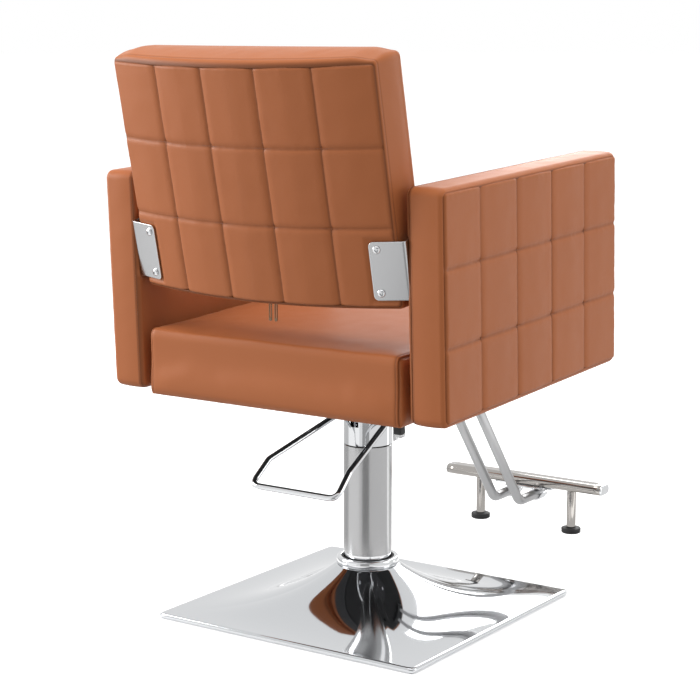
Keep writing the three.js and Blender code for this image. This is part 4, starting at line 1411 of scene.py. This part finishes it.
clamp_bm = bmesh.new()
clamp_low, clamp_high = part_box("foot_bar_clamp")
clamp_size = clamp_high - clamp_low
add_block(clamp_bm, Matrix.Translation((clamp_low + clamp_high) / 2), *(clamp_size / MM))
soften(clamp_bm, clamp_bm.edges, 3, 5)
clamp = piece("foot_bar_clamp_plated", clamp_bm, chrome, "chair")
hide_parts("foot_bar_clamp")


def saddle(name, side):
    """A strap bent round a tube and up to the clamp each side of it."""
    inner, outer = FOOT_TUBE_R + 0.2, FOOT_TUBE_R + 3.0

    def spot(across, along):
        angle = math.pi + across * math.pi
        at = Vector((math.cos(angle), math.sin(angle))) * (inner + outer) / 2
        rise = max(0.0, 1 - min(across, 1 - across) / 0.08)
        spread = Vector((math.copysign(3.5 * rise, across - 0.5), 4.5 * rise))
        x, z = side * FOOT_TUBE_X + at.x + spread.x, tube_z + at.y + spread.y
        return Vector((x, FOOT_Y + (along - 0.5) * 22, z)) * MM

    bm = grid(40, 6, spot)
    face_out(bm)
    made = piece(name, bm, chrome, "chair", 40)
    wall = made.modifiers.new("wall", "SOLIDIFY")
    wall.thickness = (outer - inner) * MM
    wall.offset = 0
    edge = made.modifiers.new("edge", "BEVEL")
    edge.width = 0.6 * MM
    edge.segments = 3
    edge.limit_method = "ANGLE"
    edge.angle_limit = math.radians(50)


BOLT_X = 55.0
for name, side in (("right", -1), ("left", 1)):
    saddle("footrest_saddle_" + name, side)
    under_bar = Matrix.Translation((side * BOLT_X * MM, FOOT_Y * MM, (bar_low - 2.6) * MM))
    socket_screw("foot_bar_screw_" + name, under_bar @ Matrix.Rotation(math.pi, 4, "X"), 1.5)
strap_bm = bmesh.new()
add_block(strap_bm, Matrix.Translation((0, FOOT_Y * MM, (bar_low - 1.35) * MM)), 132, 22, 2.4)
upright = [e for e in strap_bm.edges if abs(e.verts[0].co.z - e.verts[1].co.z) > 1e-4]
soften(strap_bm, upright, 8, 6)
piece("foot_bar_strap", strap_bm, chrome, "chair")


# ---- The zip under the back ----
# A long zip closes the back's cover along its lower edge. Two sliders meet in the middle, and
# their pulls hang plumb. Woven tape, pressed metal teeth, sliders and pulls in dark bronze.
ZIP_HALF = 220.0
ZIP_DEEP = 14.0
ZIP_Y = -42.0
TOOTH_GAP = 3.0

tape, tape_shader = principled("zip_tape_weave", 0.0, 0.8, (0.10, 0.045, 0.022))
weave = tape.node_tree.nodes.new("ShaderNodeTexWave")
weave.inputs["Scale"].default_value = 500
weave_place = tape.node_tree.nodes.new("ShaderNodeTexCoord")
tape.node_tree.links.new(weave_place.outputs["Object"], weave.inputs["Vector"])
roughen(tape.node_tree, tape_shader, weave.outputs["Fac"], 0.1 * MM)
tape_wear = ranged(tape.node_tree, noise_node(tape.node_tree, 50), 0.7, 0.9)
tape.node_tree.links.new(tape_wear, tape_shader.inputs["Roughness"])
dark_bronze = brushed("dark_bronze", (0.17, 0.115, 0.075), 0.34, (1, 1, 0.1))


def on_tape(across, along):
    x = (across - 0.5) * 2 * ZIP_HALF
    return back_frame @ (Vector((x, bulge(x) + ZIP_Y + (along - 0.5) * ZIP_DEEP, -0.35)) * MM)


tape_bm = grid(110, 6, on_tape)
bmesh.ops.reverse_faces(tape_bm, faces=tape_bm.faces)
zip_tape = piece("zip_tape_woven", tape_bm, tape, "chair", 60)
thicken(zip_tape, 0.7 * MM)
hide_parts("zip_tape")

teeth_bm = bmesh.new()
tooth_count = int(2 * ZIP_HALF / TOOTH_GAP) - 6
for number in range(tooth_count):
    x = (number - (tooth_count - 1) / 2) * TOOTH_GAP
    across = 1.1 if number % 2 else -1.1
    at = back_frame @ Matrix.Translation(Vector((x, bulge(x) + ZIP_Y + across, -1.45)) * MM)
    add_block(teeth_bm, at, 1.4, 3.2, 0.9)
piece("zip_teeth", teeth_bm, dark_bronze, "chair")

for name, side in (("right", -1), ("left", 1)):
    slider_bm = bmesh.new()
    at = back_frame @ Matrix.Translation(Vector((side * 5.5, BACK_BULGE + ZIP_Y, -4.05)) * MM)
    add_block(slider_bm, at, 8, 9, 4.5)
    soften(slider_bm, slider_bm.edges, 1.2, 4)
    slider = piece("zip_slider_cast_" + name, slider_bm, dark_bronze, "zip_slider_" + name)
    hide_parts("zip_slider_" + name)
    low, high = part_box("zip_pull_" + name)
    middle, size = (low + high) / 2, high - low
    pull_bm = bmesh.new()
    add_block(pull_bm, Matrix.Translation(middle), *(size / MM))
    long_edges = [e for e in pull_bm.edges if abs(e.verts[0].co.y - e.verts[1].co.y) > 1e-3]
    soften(pull_bm, long_edges, 2.2, 6)
    pull = piece("zip_pull_tab_" + name, pull_bm, dark_bronze, "zip_pull_" + name)
    window_bm = bmesh.new()
    add_block(window_bm, Matrix.Translation(middle - Vector((0, 0, 3 * MM))), 2.2, 5, 22)
    cut_away(pull, window_bm)
    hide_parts("zip_pull_" + name)
